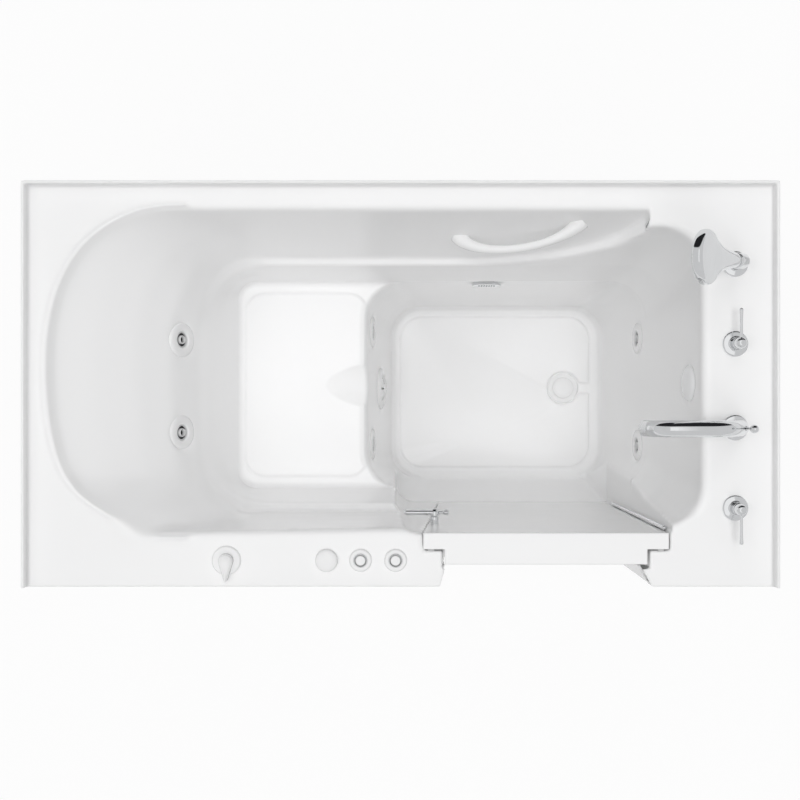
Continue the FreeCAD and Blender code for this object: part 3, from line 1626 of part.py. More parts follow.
def all_pieces():
    pieces = {
        "tub_shell": tub_shell(),
        "front_panel_left": front_panel_left(),
        "front_panel_right": front_panel_right(),
        "access_panel": access_panel(),
        "threshold_panel": threshold_panel(),
        "panel_screws": panel_screws(),
        "long_rails": long_rails(),
        "cross_rails": cross_rails(),
        "uprights": uprights(),
        "seat_bars": seat_bars(),
        "levelling_feet": levelling_feet(),
        "lock_nuts": lock_nuts(),
        "door_panel": door_panel(),
        "door_seal": door_seal(),
        "jamb_hinge_leaf": hinge_leaf(door_right + door_gap - leaf_thickness, door_right + door_gap, 0),
        "door_hinge_leaf": hinge_leaf(door_right, door_right + leaf_thickness, 1),
        "hinge_pin": hinge_pin(),
        "latch_boss": latch_boss(),
        "latch_lever": latch_lever(),
        "jet_escutcheons": jet_escutcheons(),
        "jet_bodies": jet_bodies(),
        "suction_cover": suction_cover(),
        "suction_body": suction_body(),
        "suction_pipe": suction_pipe(),
        "pump_volute": pump_volute(),
        "pump_motor": pump_motor(),
        "pump_board": pump_board(),
        "delivery_pipe": delivery_pipe(),
        "jet_manifold": jet_manifold(),
        "control_box": control_box(),
        "light_lens": light_lens(),
        "light_housing": light_housing(),
        "overflow_cover": overflow_cover(),
        "overflow_elbow": overflow_elbow(),
        "drain_flange": drain_flange(),
        "drain_stopper": drain_stopper(),
        "drain_body": drain_body(),
        "grab_bar": grab_bar(),
        "tap_escutcheons": tap_escutcheons(),
        "upper_lever": lever_handle(upper_lever_y, 1),
        "lower_lever": lever_handle(lower_lever_y, -1),
        "tap_shanks": tap_shanks(),
        "spout": spout(),
        "diverter_knob": diverter_knob(),
        "shower_holder": shower_holder(),
        "hand_shower": hand_shower(),
        "drain_knob_base": drain_knob_base(),
        "drain_knob": drain_knob(),
        "air_control_base": air_control_base(),
        "air_control_cap": air_control_cap(),
        "button_bezels": button_bezels(),
        "button_rings": button_rings(),
        "jets_button": push_button(button_spots()[0]),
        "light_button": push_button(button_spots()[1]),
    }
    names = ("back_upper", "back_lower", "riser_upper", "riser_lower", "foot_upper", "foot_lower")
    for name, (point, facing) in zip(names, jet_ports()):
        pieces["jet_nozzle_" + name] = jet_nozzle(point, facing)
    return pieces


os.makedirs("parts", exist_ok=True)
for name, shape in all_pieces().items():
    shape.exportStep("parts/" + name + ".step")
    print(name, len(shape.Solids), "solids", round(shape.Volume), "mm3")
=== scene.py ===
# %% [markdown]
# # A walk-in jetted tub, seen from above
# The tub's pieces come from the CAD frame at their real size and place. This lesson gives each of
# them its finish, models the softly moulded pieces as smooth meshes, and sets up a bright studio.
# Lengths are in metres, +Z is up, +X runs from the seat to the taps and +Y to the wall behind.

# %% Load the frame
import bpy
import bmesh
import json
import math
import numpy as np
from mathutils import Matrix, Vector

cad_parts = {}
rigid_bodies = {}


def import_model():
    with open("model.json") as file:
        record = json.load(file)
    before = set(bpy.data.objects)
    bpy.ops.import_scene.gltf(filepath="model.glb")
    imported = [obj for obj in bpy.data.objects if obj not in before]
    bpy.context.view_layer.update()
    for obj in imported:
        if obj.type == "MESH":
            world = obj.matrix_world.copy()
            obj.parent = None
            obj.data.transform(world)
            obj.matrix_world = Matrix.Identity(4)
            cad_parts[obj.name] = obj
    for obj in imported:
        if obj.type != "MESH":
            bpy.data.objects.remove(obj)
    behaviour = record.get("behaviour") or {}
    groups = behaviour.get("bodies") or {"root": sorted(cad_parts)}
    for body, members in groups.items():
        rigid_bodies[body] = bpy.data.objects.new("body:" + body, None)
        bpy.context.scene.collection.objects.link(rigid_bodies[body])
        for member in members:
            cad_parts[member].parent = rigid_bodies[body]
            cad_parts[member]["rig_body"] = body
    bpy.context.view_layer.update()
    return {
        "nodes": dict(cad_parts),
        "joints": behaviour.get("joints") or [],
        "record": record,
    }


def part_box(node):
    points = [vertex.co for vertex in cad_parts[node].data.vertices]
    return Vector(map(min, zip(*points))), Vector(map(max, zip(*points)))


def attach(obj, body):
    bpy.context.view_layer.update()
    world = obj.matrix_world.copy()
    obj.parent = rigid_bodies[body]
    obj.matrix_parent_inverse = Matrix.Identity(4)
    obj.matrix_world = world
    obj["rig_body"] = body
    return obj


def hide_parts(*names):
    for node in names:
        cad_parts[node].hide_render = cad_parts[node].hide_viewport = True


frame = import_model()
nodes = frame["nodes"]


def rounded(point):
    """A point to the millimetre, for printing."""
    return tuple(round(value, 3) for value in point)


# %% [markdown]
# ## Shader arithmetic
# A finish is a small sum of patterns, so it reads best as a Python expression. `Wire` wraps one
# socket and turns `+`, `-`, `*` and `/` into Math nodes, and `Finish` adds any other node: its type, its
# settings first, and then its sockets.

# %% Shader kit


class Wire:
    """One socket, which takes part in sums with numbers and other sockets."""

    def __init__(self, finish, socket):
        self.finish, self.socket = finish, socket

    def combine(self, operation, first, second):
        return self.finish.node("ShaderNodeMath", {"operation": operation}, {0: first, 1: second})

    def __add__(self, other):
        return self.combine("ADD", self, other)

    def __sub__(self, other):
        return self.combine("SUBTRACT", self, other)

    def __mul__(self, other):
        return self.combine("MULTIPLY", self, other)

    def __truediv__(self, other):
        return self.combine("DIVIDE", self, other)

    def __rsub__(self, other):
        return self.combine("SUBTRACT", other, self)

    def __rtruediv__(self, other):
        return self.combine("DIVIDE", other, self)

    __radd__ = __add__
    __rmul__ = __mul__


class Finish:
    """A material, or the world, and the nodes that are added to it."""

    def __init__(self, owner):
        self.owner = owner
        owner.use_nodes = True
        self.tree = owner.node_tree

    def node(self, kind, settings=None, sockets=None, output=0):
        """Any node: its type, its settings, the values or links of its sockets, and the output to use."""
        made = self.tree.nodes.new(kind)
        for name, value in (settings or {}).items():
            setattr(made, name, value)
        for name, value in (sockets or {}).items():
            self.plug(made.inputs[name], value)
        return Wire(self, made.outputs[output])

    def plug(self, socket, value):
        if isinstance(value, Wire):
            self.tree.links.new(value.socket, socket)
        elif isinstance(value, tuple) and socket.type == "RGBA":
            socket.default_value = (*value, 1.0)
        else:
            socket.default_value = value

    def place(self):
        """Where a point lies on the object, in metres."""
        return self.node("ShaderNodeTexCoord", output="Object")

    def noise(self, scale, detail=2.0, stretch=(1.0, 1.0, 1.0)):
        where = self.node("ShaderNodeMapping", None, {"Vector": self.place(), "Scale": stretch})
        return self.node("ShaderNodeTexNoise", None, {"Vector": where, "Scale": scale, "Detail": detail})

    def mix(self, share, first, second):
        """Two colours; 6 and 7 are the Mix node's colour sockets, and 2 is its colour output."""
        return self.node("ShaderNodeMix", {"data_type": "RGBA"}, {0: share, 6: first, 7: second}, output=2)

    def bump(self, height, strength, distance, normal=None):
        sockets = {"Height": height, "Strength": strength, "Distance": distance}
        if normal:
            sockets["Normal"] = normal
        return self.node("ShaderNodeBump", None, sockets)


def new_finish(name, **constants):
    """A material whose plain sockets are set directly; returns its kit and its shader."""
    finish = Finish(bpy.data.materials.new(name))
    shader = finish.tree.nodes["Principled BSDF"]
    for socket, value in constants.items():
        finish.plug(shader.inputs[socket.replace("_", " ")], value)
    return finish, shader


print("shader kit ready")

# %% [markdown]
# ## Gelcoat
# The shell, door and skirt are sprayed with a glossy white gelcoat. A flat white would look like
# paper, so the white drifts by a hair over the surface, the gloss varies with polishing, and a faint
# orange-peel bump breaks up the reflections.

# %% White finishes
drift_scale, polish_scale, peel_scale = 3.0, 14.0, 240.0
white_dim_share, polish_spread, peel_depth = 0.985, 0.05, 0.0004


def dimmed(tint, share):
    return tuple(channel * share for channel in tint)


def rounded_edge(finish, radius, samples):
    """A normal that turns over sharp edges as if they were rounded."""
    return finish.node("ShaderNodeBevel", {"samples": samples}, {"Radius": radius})


def white_gloss(name, tint, roughness, peel, soft_edge):
    finish, shader = new_finish(name, IOR=1.5, Specular_IOR_Level=0.5)
    drift = finish.noise(drift_scale)
    polish = finish.noise(polish_scale, detail=3.0)
    finish.plug(shader.inputs["Base Color"], finish.mix(drift, dimmed(tint, white_dim_share), tint))
    finish.plug(shader.inputs["Roughness"], roughness + polish * polish_spread)
    orange_peel = finish.noise(peel_scale, detail=1.0)
    edge = rounded_edge(finish, soft_edge, samples=6)
    finish.plug(shader.inputs["Normal"], finish.bump(orange_peel, peel, peel_depth, edge))
    return finish.owner


white_settings = {
    "gelcoat": dict(tint=(0.975, 0.975, 0.976), roughness=0.1, peel=0.02, soft_edge=0.004),
    "white_fitting": dict(tint=(0.92, 0.92, 0.922), roughness=0.16, peel=0.02, soft_edge=0.002),
    "clear_lens": dict(tint=(0.95, 0.955, 0.96), roughness=0.06, peel=0.0, soft_edge=0.002),
    "jet_nozzle": dict(tint=(0.8, 0.8, 0.805), roughness=0.14, peel=0.0, soft_edge=0.001),
}
finishes = {name: white_gloss(name, **settings) for name, settings in white_settings.items()}
print("white finishes:", sorted(finishes))

# %% [markdown]
# ## Metals
# The taps are chromed brass, the hidden shanks bare brass and the feet zinc-plated steel. Chrome is nearly a
# mirror, so its tint is light and it is a touch rougher where hands have wiped it; the smear is stretched
# along the height. A small rounding of the edges catches the light as real plating does.

# %% Metals
smear_stretch = (1.0, 1.0, 6.0)
metal_dim_share, plating_edge = 0.93, 0.0008


def metal(name, tint, roughness, streak, smear_scale):
    finish, shader = new_finish(name, Metallic=1.0)
    smear = finish.noise(smear_scale, detail=3.0, stretch=smear_stretch)
    finish.plug(shader.inputs["Base Color"], finish.mix(smear, dimmed(tint, metal_dim_share), tint))
    finish.plug(shader.inputs["Roughness"], roughness + smear * streak)
    finish.plug(shader.inputs["Normal"], rounded_edge(finish, plating_edge, samples=4))
    return finish.owner


metal_settings = {
    "chrome": dict(tint=(0.8, 0.81, 0.82), roughness=0.03, streak=0.05, smear_scale=30.0),
    "plated_steel": dict(tint=(0.62, 0.63, 0.64), roughness=0.25, streak=0.2, smear_scale=60.0),
    "brass_shank": dict(tint=(0.72, 0.53, 0.24), roughness=0.22, streak=0.2, smear_scale=60.0),
}
for name, settings in metal_settings.items():
    finishes[name] = metal(name, **settings)
print("metals:", sorted(metal_settings))

# %% [markdown]
# ## Rubber, steel, plastics and board
# What is under the deck is plainer: grey rubber in the door seal, painted steel tube, pale pipe, black pump
# plastic and a plywood board. Each has a grain of its own size, which shades its colour, its roughness and
# its surface together.

# %% Hidden finishes
matt_dim_share, grain_spread, grain_strength = 0.85, 0.15, 0.3
dark_wood, pale_wood = (0.42, 0.27, 0.13), (0.68, 0.5, 0.3)
figure_scale, pore_scale = 9.0, 60.0
figure_stretch, pore_stretch = (1.0, 14.0, 14.0), (1.0, 20.0, 20.0)
wood_roughness, pore_spread, pore_depth = 0.6, 0.2, 0.0006


def matt(name, tint, roughness, grain_scale, grain_depth):
    finish, shader = new_finish(name)
    grain = finish.noise(grain_scale, detail=4.0)
    finish.plug(shader.inputs["Base Color"], finish.mix(grain, dimmed(tint, matt_dim_share), tint))
    finish.plug(shader.inputs["Roughness"], roughness + grain * grain_spread)
    finish.plug(shader.inputs["Normal"], finish.bump(grain, grain_strength, grain_depth))
    return finish.owner


def plywood():
    """Long figure and finer pores, both stretched along the board."""
    finish, shader = new_finish("board_wood")
    figure = finish.noise(figure_scale, detail=5.0, stretch=figure_stretch)
    pores = finish.noise(pore_scale, detail=2.0, stretch=pore_stretch)
    finish.plug(shader.inputs["Base Color"], finish.mix(figure, dark_wood, pale_wood))
    finish.plug(shader.inputs["Roughness"], wood_roughness + pores * pore_spread)
    finish.plug(shader.inputs["Normal"], finish.bump(pores, grain_strength, pore_depth))
    return finish.owner


matt_settings = {
    "seal_rubber": dict(tint=(0.6, 0.6, 0.6), roughness=0.6, grain_scale=220.0, grain_depth=0.0002),
    "frame_steel": dict(tint=(0.42, 0.43, 0.44), roughness=0.4, grain_scale=160.0, grain_depth=0.0002),
    "pipe_plastic": dict(tint=(0.78, 0.78, 0.77), roughness=0.35, grain_scale=90.0, grain_depth=0.0001),
    "pump_plastic": dict(tint=(0.03, 0.03, 0.032), roughness=0.45, grain_scale=300.0, grain_depth=0.0003),
    "motor_paint": dict(tint=(0.05, 0.055, 0.06), roughness=0.35, grain_scale=200.0, grain_depth=0.0002),
}
for name, settings in matt_settings.items():
    finishes[name] = matt(name, **settings)
finishes["board_wood"] = plywood()
print("finishes:", len(finishes))

# %% [markdown]
# ## Finishes on the CAD nodes
# The record names a material slot for every node, and the finishes have the slots' names, so painting is
# one loop.

# %% Paint the CAD nodes
slot_of = {entry["node"]: entry["material_slot"] for entry in frame["record"]["subparts"]}
for name, piece in nodes.items():
    piece.data.materials.clear()
    piece.data.materials.append(finishes[slot_of[name]])
print("painted", len(nodes), "nodes")

# %% [markdown]
# ## Mesh kit
# The fittings are turned, bent or drawn out, and their gloss shows every facet. So each one is a skin of
# many fine rings: `soften` rounds the corners of an outline or a path, `lathe` and `tube` set rings along an
# axis or a path, and `skin` joins them with faces. `stand_in` shows the mesh in place of a CAD node, on
# the node's own body and with its own finish.

# %% Mesh kit
mm = 0.001
fine_sides = 72
hair = 1e-6
deck_z = 0.940
jets = [joint for joint in frame["joints"] if joint["name"].startswith("jet_") and "turn" in joint["name"]]


def soften(points, reaches, steps=7):
    """The outline with each inner corner rounded; a reach is how far before the corner the curve starts."""
    points = [Vector(point) for point in points]
    inner = points[1:-1]
    reaches = [reaches] * len(inner) if isinstance(reaches, float) else reaches
    result = [points[0]]
    for before, corner, after, reach in zip(points, inner, points[2:], reaches):
        back, ahead = before - corner, after - corner
        start = corner + back.normalized() * min(reach, back.length / 2)
        end = corner + ahead.normalized() * min(reach, ahead.length / 2)
        for step in range(steps + 1):
            share = step / steps
            result.append(start * (1 - share) ** 2 + corner * 2 * share * (1 - share) + end * share ** 2)
    result.append(points[-1])
    return result


def skin(rings):
    """Faces between neighbouring rings; a ring of one point closes an end."""
    verts, faces, starts = [], [], []
    for ring in rings:
        starts.append(len(verts))
        verts.extend(ring)
    for low, high, ring, above in zip(starts, starts[1:], rings, rings[1:]):
        sides = max(len(ring), len(above))
        for side in range(sides):
            after = (side + 1) % sides
            corners = (low + side % len(ring), low + after % len(ring),
                       high + after % len(above), high + side % len(above))
            faces.append(tuple(dict.fromkeys(corners)))
    return verts, faces


def merge(*shapes):
    """Several shapes as one."""
    verts, faces = [], []
    for more_verts, more_faces in shapes:
        start = len(verts)
        verts.extend(more_verts)
        faces.extend(tuple(start + corner for corner in face) for face in more_faces)
    return verts, faces


def cross_axes(axis):
    """Two directions across an axis."""
    helper = Vector((0, 1, 0)) if abs(axis.y) < 0.9 else Vector((1, 0, 0))
    first = axis.cross(helper).normalized()
    return first, axis.cross(first).normalized()


def oval(centre, first, second, width, depth):
    """A ring of points; a ring of no width is a single point."""
    if width < hair:
        return [centre]
    turns = [math.tau * side / fine_sides for side in range(fine_sides)]
    return [centre + first * width * math.cos(turn) + second * depth * math.sin(turn) for turn in turns]


def lathe(profile, base, axis=(0, 0, 1)):
    """A turned piece from (radius, height) pairs along its axis."""
    axis = Vector(axis).normalized()
    first, second = cross_axes(axis)
    return skin([oval(Vector(base) + axis * high, first, second, radius, radius) for radius, high in profile])


def tube(path, radius_at, closed=True):
    """A round bar along a path; radius_at gives its radius at a share of the length."""
    lengths = [0.0]
    for before, after in zip(path, path[1:]):
        lengths.append(lengths[-1] + (after - before).length)
    rings = []
    for index, (spot, run) in enumerate(zip(path, lengths)):
        heading = path[min(index + 1, len(path) - 1)] - path[max(index - 1, 0)]
        first, second = cross_axes(heading.normalized())
        radius = radius_at(run / lengths[-1])
        rings.append(oval(spot, first, second, radius, radius))
    if closed:
        rings = [[path[0]]] + rings + [[path[-1]]]
    return skin(rings)


def add_piece(name, shape, carrier, slot):
    """A smooth mesh that rides with a CAD node and takes a slot's finish."""
    mesh = bpy.data.meshes.new(name)
    mesh.from_pydata(shape[0], [], shape[1])
    work = bmesh.new()
    work.from_mesh(mesh)
    bmesh.ops.remove_doubles(work, verts=work.verts, dist=hair)
    bmesh.ops.recalc_face_normals(work, faces=work.faces)
    work.to_mesh(mesh)
    work.free()
    mesh.polygons.foreach_set("use_smooth", [True] * len(mesh.polygons))
    mesh.materials.append(finishes[slot])
    piece = bpy.data.objects.new(name, mesh)
    bpy.context.scene.collection.objects.link(piece)
    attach(piece, nodes[carrier]["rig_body"])
    return piece


def stand_in(name, shape, node):
    """A smooth mesh shown in place of a CAD node."""
    piece = add_piece(name, shape, node, slot_of[node])
    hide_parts(node)
    return piece


def scaled(profile):
    """A profile in millimetres as one in metres."""
    return [(radius * mm, high * mm) for radius, high in profile]


print("mesh kit ready")

# %% [markdown]
# ## The moulded shell
# The real shell is one sheet drawn over a mould, so its walls flow into each other without a crease. The CAD
# shell has the right walls but sharp edges where they meet. Here its skin is made anew from small even
# squares, and then every point is drawn towards the middle of its neighbours, pass after pass, as a
# mould is rubbed down. The backrest, which is one long sweep, is rubbed most, the doorway least, and the
# lines round the seat and floor pads not at all. A bead laid in the valley beside the backrest closes it
# before the squares are made, as filler does on a mould.

# %% The moulded shell
square, weld_gap = 3 * mm, 0.01 * mm
kept_share = 0.12
step_share, crisp_share = 0.5, 0.12
wall_passes, backrest_passes = 24, 160
backrest_front, backrest_low = -0.30, 0.60
backrest_fade, low_fade, high_fade = 60 * mm, 40 * mm, 25 * mm
deck_half = Vector((0.762, 0.410))
deck_sheet, rim_width, rim_fade = 8 * mm, 14 * mm, 20 * mm
seat_z, floor_z = 0.542, 0.120
seat_line, floor_line = 6 * mm, 12 * mm
jet_clear, jet_fade = 40 * mm, 25 * mm
crisp_areas = {
    "doorway": ((0.05, -0.42), (0.60, -0.27)),
    "ledge_back_end": ((0.46, 0.31), (0.55, 0.38)),
}
roll_corner = Vector((-0.540, -0.298))
corner_reach, corner_fade = 60 * mm, 35 * mm
valley_radius = 9 * mm
valley = [Vector(place) * mm for place in (
    (-556, -286, 918), (-540, -289, 915), (-520, -290, 909), (-500, -291, 897), (-485, -291, 886),
    (-455, -289.5, 860), (-425, -288, 832), (-395, -285.5, 792), (-372, -283.5, 757), (-360, -282, 736))]


def baked(piece):
    """The mesh of an object with its modifiers applied; the object goes."""
    mesh = bpy.data.meshes.new_from_object(piece.evaluated_get(bpy.context.evaluated_depsgraph_get()))
    bpy.data.objects.remove(piece)
    return mesh


def loose_object(mesh):
    """An object to work on, which is not part of the tub."""
    piece = bpy.data.objects.new("shell_work", mesh)
    bpy.context.scene.collection.objects.link(piece)
    return piece


def even_squares(node, bead):
    """The node and a bead that closes a valley in it, as one skin of small squares."""
    source = nodes[node].data
    shape = [vertex.co for vertex in source.vertices], [tuple(face.vertices) for face in source.polygons]
    mesh = bpy.data.meshes.new("shell_and_bead")
    verts, faces = merge(shape, bead)
    mesh.from_pydata(verts, [], faces)
    piece = loose_object(mesh)
    piece.modifiers.new("weld", "WELD").merge_threshold = weld_gap
    squares = piece.modifiers.new("squares", "REMESH")
    squares.mode, squares.voxel_size = "VOXEL", square
    return baked(piece)


def relax(points, ends, shares, passes):
    """Moves points towards the middle of their neighbours, each by its own share of the way."""
    first, second = ends[:, (shares[ends[0]] > 0) | (shares[ends[1]] > 0)]
    count = len(points)
    neighbours = np.maximum(np.bincount(first, minlength=count) + np.bincount(second, minlength=count), 1)
    for step in range(passes):
        for axis in range(3):
            line = points[:, axis]
            total = np.bincount(first, line[second], count) + np.bincount(second, line[first], count)
            points[:, axis] = line + (total / neighbours - line) * shares
    return points


def fade(margin, width):
    """0 below a margin of nothing, 1 from a full width on."""
    return np.clip(margin / width, 0.0, 1.0)


def crispness(points):
    """Where the sheet is thin or meets the door, it is rubbed down only a little."""
    x, y = points.T[:2]
    inside = [(x > left) & (x < right) & (y > front) & (y < back)
              for (left, front), (right, back) in crisp_areas.values()]
    return np.where(np.any(inside, axis=0), crisp_share, 1.0)


def wall_softness(points):
    """The outer rim and the lines of the seat and floor pads stay; the rest is free to move."""
    x, y, z = points.T
    rim = fade(np.minimum(deck_half.x - rim_width - abs(x), deck_half.y - rim_width - abs(y)), rim_fade)
    on_pads = (abs(z - seat_z) < seat_line) | (abs(z - floor_z) < floor_line)
    return step_share * rim * crispness(points) * ~on_pads


def backrest_softness(points):
    """Full on the backrest and round the front end of the head roll, fading to nothing near the jets."""
    x, y, z = points.T
    share = fade(backrest_front - x, backrest_fade) * fade(z - backrest_low, low_fade)
    share *= fade(deck_z - deck_sheet - z, high_fade)
    corner = np.hypot(x - roll_corner.x, y - roll_corner.y)
    share = np.maximum(share, fade(corner_reach - corner, corner_fade) * (z > backrest_low))
    for joint in jets:
        distance = np.linalg.norm(points - np.array(joint["pos_m"]), axis=1)
        share *= fade(distance - jet_clear, jet_fade)
    return step_share * share


def soft_shell():
    """The shell's new skin, rubbed down and then made of fewer faces."""
    mesh = even_squares("tub_shell", tube(valley, lambda share: valley_radius))
    points = np.empty(len(mesh.vertices) * 3)
    mesh.vertices.foreach_get("co", points)
    points = points.reshape(-1, 3)
    ends = np.empty(len(mesh.edges) * 2, dtype=np.int32)
    mesh.edges.foreach_get("vertices", ends)
    ends = ends.reshape(-1, 2).T
    points = relax(points, ends, wall_softness(points), wall_passes)
    points = relax(points, ends, backrest_softness(points), backrest_passes)
    mesh.vertices.foreach_set("co", points.ravel())
    mesh.update()
    piece = loose_object(mesh)
    piece.modifiers.new("fewer", "DECIMATE").ratio = kept_share
    fewer = baked(piece)
    return [vertex.co.copy() for vertex in fewer.vertices], [tuple(face.vertices) for face in fewer.polygons]


shell_piece = stand_in("soft_shell", soft_shell(), "tub_shell")
print("soft shell:", len(shell_piece.data.polygons), "faces")

# %% [markdown]
# ## Bells and lever handles
# Each tap sits in a chromed bell that is spun from brass. It flattens out towards its rim, which is why
# it mirrors an even grey. The lever is a cast hub with a slim rod that swells a little at its tip.

# %% Bells and levers
tap_x = 0.679
bell_height = 24 * mm
hub_gap, rod_rise, rod_length, rod_steps = 0.3 * mm, 16 * mm, 70 * mm, 40
rod_slim, rod_swell, swell_steepness = 3.0, 1.5, 6
tip_share, least_round = 0.06, 0.02
tap_places = {"upper_lever": 0.083, "spout": -0.087, "lower_lever": -0.250}


def bell(y):
    """A bell that flattens to its rim and rises to a short collar."""
    outline = [(0, 24), (11.6, 24), (12, 10), (13.2, 5.4), (25, 3), (26, 1.6), (26, 0), (0, 0)]
    return lathe(soften(scaled(outline), 3 * mm), (tap_x, y, deck_z))


def lever(y, side):
    """Hub and rod; side is the way that the rod points along Y."""
    base = Vector((tap_x, y, deck_z + bell_height + hub_gap))
    hub = [(0, 0), (11.4, 0), (12.3, 5), (11.6, 15), (10.2, 21), (6, 24), (0, 24)]
    rod_root = base + Vector((0, 0, rod_rise))
    rod_tip = rod_root + Vector((0, side * rod_length, 0))
    path = [rod_root.lerp(rod_tip, step / rod_steps) for step in range(rod_steps + 1)]

    def thickness(share):
        """Slim, swelling near the end, and rounded over the last stretch."""
        into_tip = max(0.0, (share - 1 + tip_share) / tip_share)
        tip_round = math.sqrt(max(0.0, 1 - into_tip ** 2))
        return (rod_slim + rod_swell * share ** swell_steepness) * mm * max(tip_round, least_round)

    return merge(lathe(soften(scaled(hub), 4 * mm), base), tube(path, thickness))


stand_in("bells", merge(*[bell(y) for y in tap_places.values()]), "tap_escutcheons")
stand_in("upper_lever_handle", lever(tap_places["upper_lever"], 1), "upper_lever")
stand_in("lower_lever_handle", lever(tap_places["lower_lever"], -1), "lower_lever")
print("bells and levers at x", tap_x)

# %% [markdown]
# ## Spout and diverter
# The spout is one bent tube: it leans out of its bell, runs level over the well and turns down to its
# mouth. Rings follow the rounded path, then turn back inside to make the open mouth. The diverter's thin
# rod stands behind it with a ball to pull it up by.

# %% Spout and diverter
spout_y = tap_places["spout"]
spout_radius, mouth_bore, bore_depth = 16.5 * mm, 12.5 * mm, 24 * mm
spout_corners = [(0.679, 0.964), (0.679, 0.976), (0.634, 1.046), (0.506, 1.046), (0.486, 0.990)]
spout_reaches = [6 * mm, 34 * mm, 27 * mm]
diverter_foot = Vector((0.680, spout_y, deck_z + bell_height))
ball_radius, ball_middle = 8.5, 93.5


def spout_tube():
    """The bent tube and its open mouth."""
    corners = [(x, spout_y, z) for x, z in spout_corners]
    path = soften(corners, spout_reaches, 24)
    outside = tube(path, lambda share: spout_radius, closed=False)
    inward = (path[-2] - path[-1]).normalized()
    rim = [(spout_radius, 0), (mouth_bore, 0), (mouth_bore, bore_depth), (0, bore_depth)]
    return merge(outside, lathe(soften(rim, 1.2 * mm), path[-1], inward))


def diverter():
    """Thin rod with a ball on top; the ball's outline starts where the rod meets it."""
    rod_line = [(0, 22), (3, 22), (3, 86)]
    turns = [math.pi * step / 32 for step in range(4, 33)]
    ball = [(ball_radius * math.sin(turn), ball_middle - ball_radius * math.cos(turn)) for turn in turns]
    return lathe(scaled(rod_line + ball), diverter_foot)


def collar():
    """Guide of the diverter's rod, at the spout's foot."""
    outline = [(3.2, 22), (6, 22), (6, 38), (4.6, 40), (3.2, 40)]
    return lathe(soften(scaled(outline), 1.5 * mm), diverter_foot)


stand_in("spout_tube", merge(spout_tube(), collar()), "spout")
stand_in("diverter_pull", diverter(), "diverter_knob")
print("spout reaches from x", spout_corners[0][0], "to", spout_corners[-1][0])

# %% [markdown]
# ## Hand shower
# The head is a flat drum whose back runs out into a trumpet and then the round handle. Ovals that narrow
# along the handle's axis make the trumpet, and the drum is turned about the way the spray faces. It
# leans in a socket on a bell of its own.

# %% Hand shower and holder
shower_foot = Vector((tap_x, 0.245, deck_z + 44 * mm))
shower_lean = math.radians(38)
shower_sway = math.radians(3.3)
shower_across = Vector((0, math.cos(shower_sway), math.sin(shower_sway)))
shower_axis = Vector((-math.sin(shower_lean), -math.sin(shower_sway), math.cos(shower_lean))).normalized()
shower_facing = shower_across.cross(shower_axis).normalized() * -1
head_middle = 176.3 * mm
trumpet_sink, grip_half = 1.5 * mm, 12 * mm
nub_rings = ((10 * mm, 6), (20 * mm, 12), (30 * mm, 18))
nub_outline = [(1.5, 9.6), (1.4, 10.6), (0.9, 11), (0, 11)]


def trumpet():
    """Ovals along the handle; each step is (place, half width, half depth) in millimetres."""
    steps = [(0.3, 10, 10), (2, 11, 11), (35, 11, 11), (42, 15, 13), (70, 18, 13.5), (96, 21, 13.5),
             (116, 26, 13), (132, 34, 12.5), (146, 42, 12), (158, 47, 11), (176, 49, 9.5)]
    line = soften([(place * mm, wide * mm, deep * mm) for place, wide, deep in steps], 9 * mm, 5)
    across = shower_axis.cross(shower_facing).normalized()
    rings = []
    for place, wide, deep in line:
        middle = shower_foot + shower_axis * place - shower_facing * trumpet_sink * (wide > grip_half)
        rings.append(oval(middle, across, shower_facing, wide, deep))
    return skin([[shower_foot + shower_axis * line[0][0]]] + rings)


def head():
    """Turned drum: domed back, thick bright rim and a slightly sunk spray plate."""
    outline = [(0, -11.5), (30, -11), (44, -9.5), (50, -7), (52, -1),
               (52, 7), (48, 11), (42, 11.2), (41, 10), (0, 10)]
    return lathe(soften(scaled(outline), 4 * mm), shower_foot + shower_axis * head_middle, shower_facing)


def spray_nubs():
    """Rings of soft nubs on the spray plate."""
    centre = shower_foot + shower_axis * head_middle
    nubs = []
    first, second = cross_axes(shower_facing)
    for ring, count in nub_rings:
        for step in range(count):
            turn = math.tau * step / count
            place = centre + first * ring * math.cos(turn) + second * ring * math.sin(turn)
            nubs.append(lathe(scaled(nub_outline), place, shower_facing))
    return merge(*nubs)


def holder():
    """A leaning socket on an upright neck, and the bell under it."""
    socket = [(0, -4), (13, -4), (16, -1), (16, 30), (14.5, 34), (11.4, 34), (11.4, 6)]
    neck = [(10.5, 8), (10.5, 44)]
    return merge(lathe(soften(scaled(socket), 2.5 * mm), shower_foot, shower_axis),
                 lathe(scaled(neck), (tap_x, shower_foot.y, deck_z)), bell(shower_foot.y))


stand_in("shower_body", merge(trumpet(), head()), "hand_shower")
add_piece("shower_nubs", spray_nubs(), "hand_shower", "seal_rubber")
stand_in("shower_socket", holder(), "shower_holder")
print("shower head middle", rounded(shower_foot + shower_axis * head_middle))

# %% [markdown]
# ## Jets
# A jet shows a white ring pressed to the wall and, inside it, a nozzle that turns: a pale raised throat in
# a groove. Black discs at the bottom of the groove and inside the throat are painted shade, standing in for
# the shade in these hollows. Its joint gives the place and the way it faces, so the same turned outlines
# serve all six.

# %% Jets
ring_outline = [(17.2, 0), (17.2, 3), (20, 5.7), (28, 6), (34, 5), (38.5, 2.4), (38.5, 0)]
groove_outline = [(16.7, -8), (16.7, 3), (15, 3), (15, -1.8)]
throat_outline = [(9.5, -1.8), (9.5, 3), (8.2, 6), (7, 3), (7, -7)]
# Flat discs at the bottom of the groove and inside the throat, later made black: painted shade for these
# hollows.
shade_disc_outlines = ([(15, -1.7), (9.5, -1.7)], [(7, -3), (0, -3)])


def turned_set(outlines, joint):
    """Outlines turned about a jet's own axis."""
    soft = [soften(scaled(outline), 1 * mm) for outline in outlines]
    return merge(*[lathe(outline, joint["pos_m"], joint["axis"]) for outline in soft])


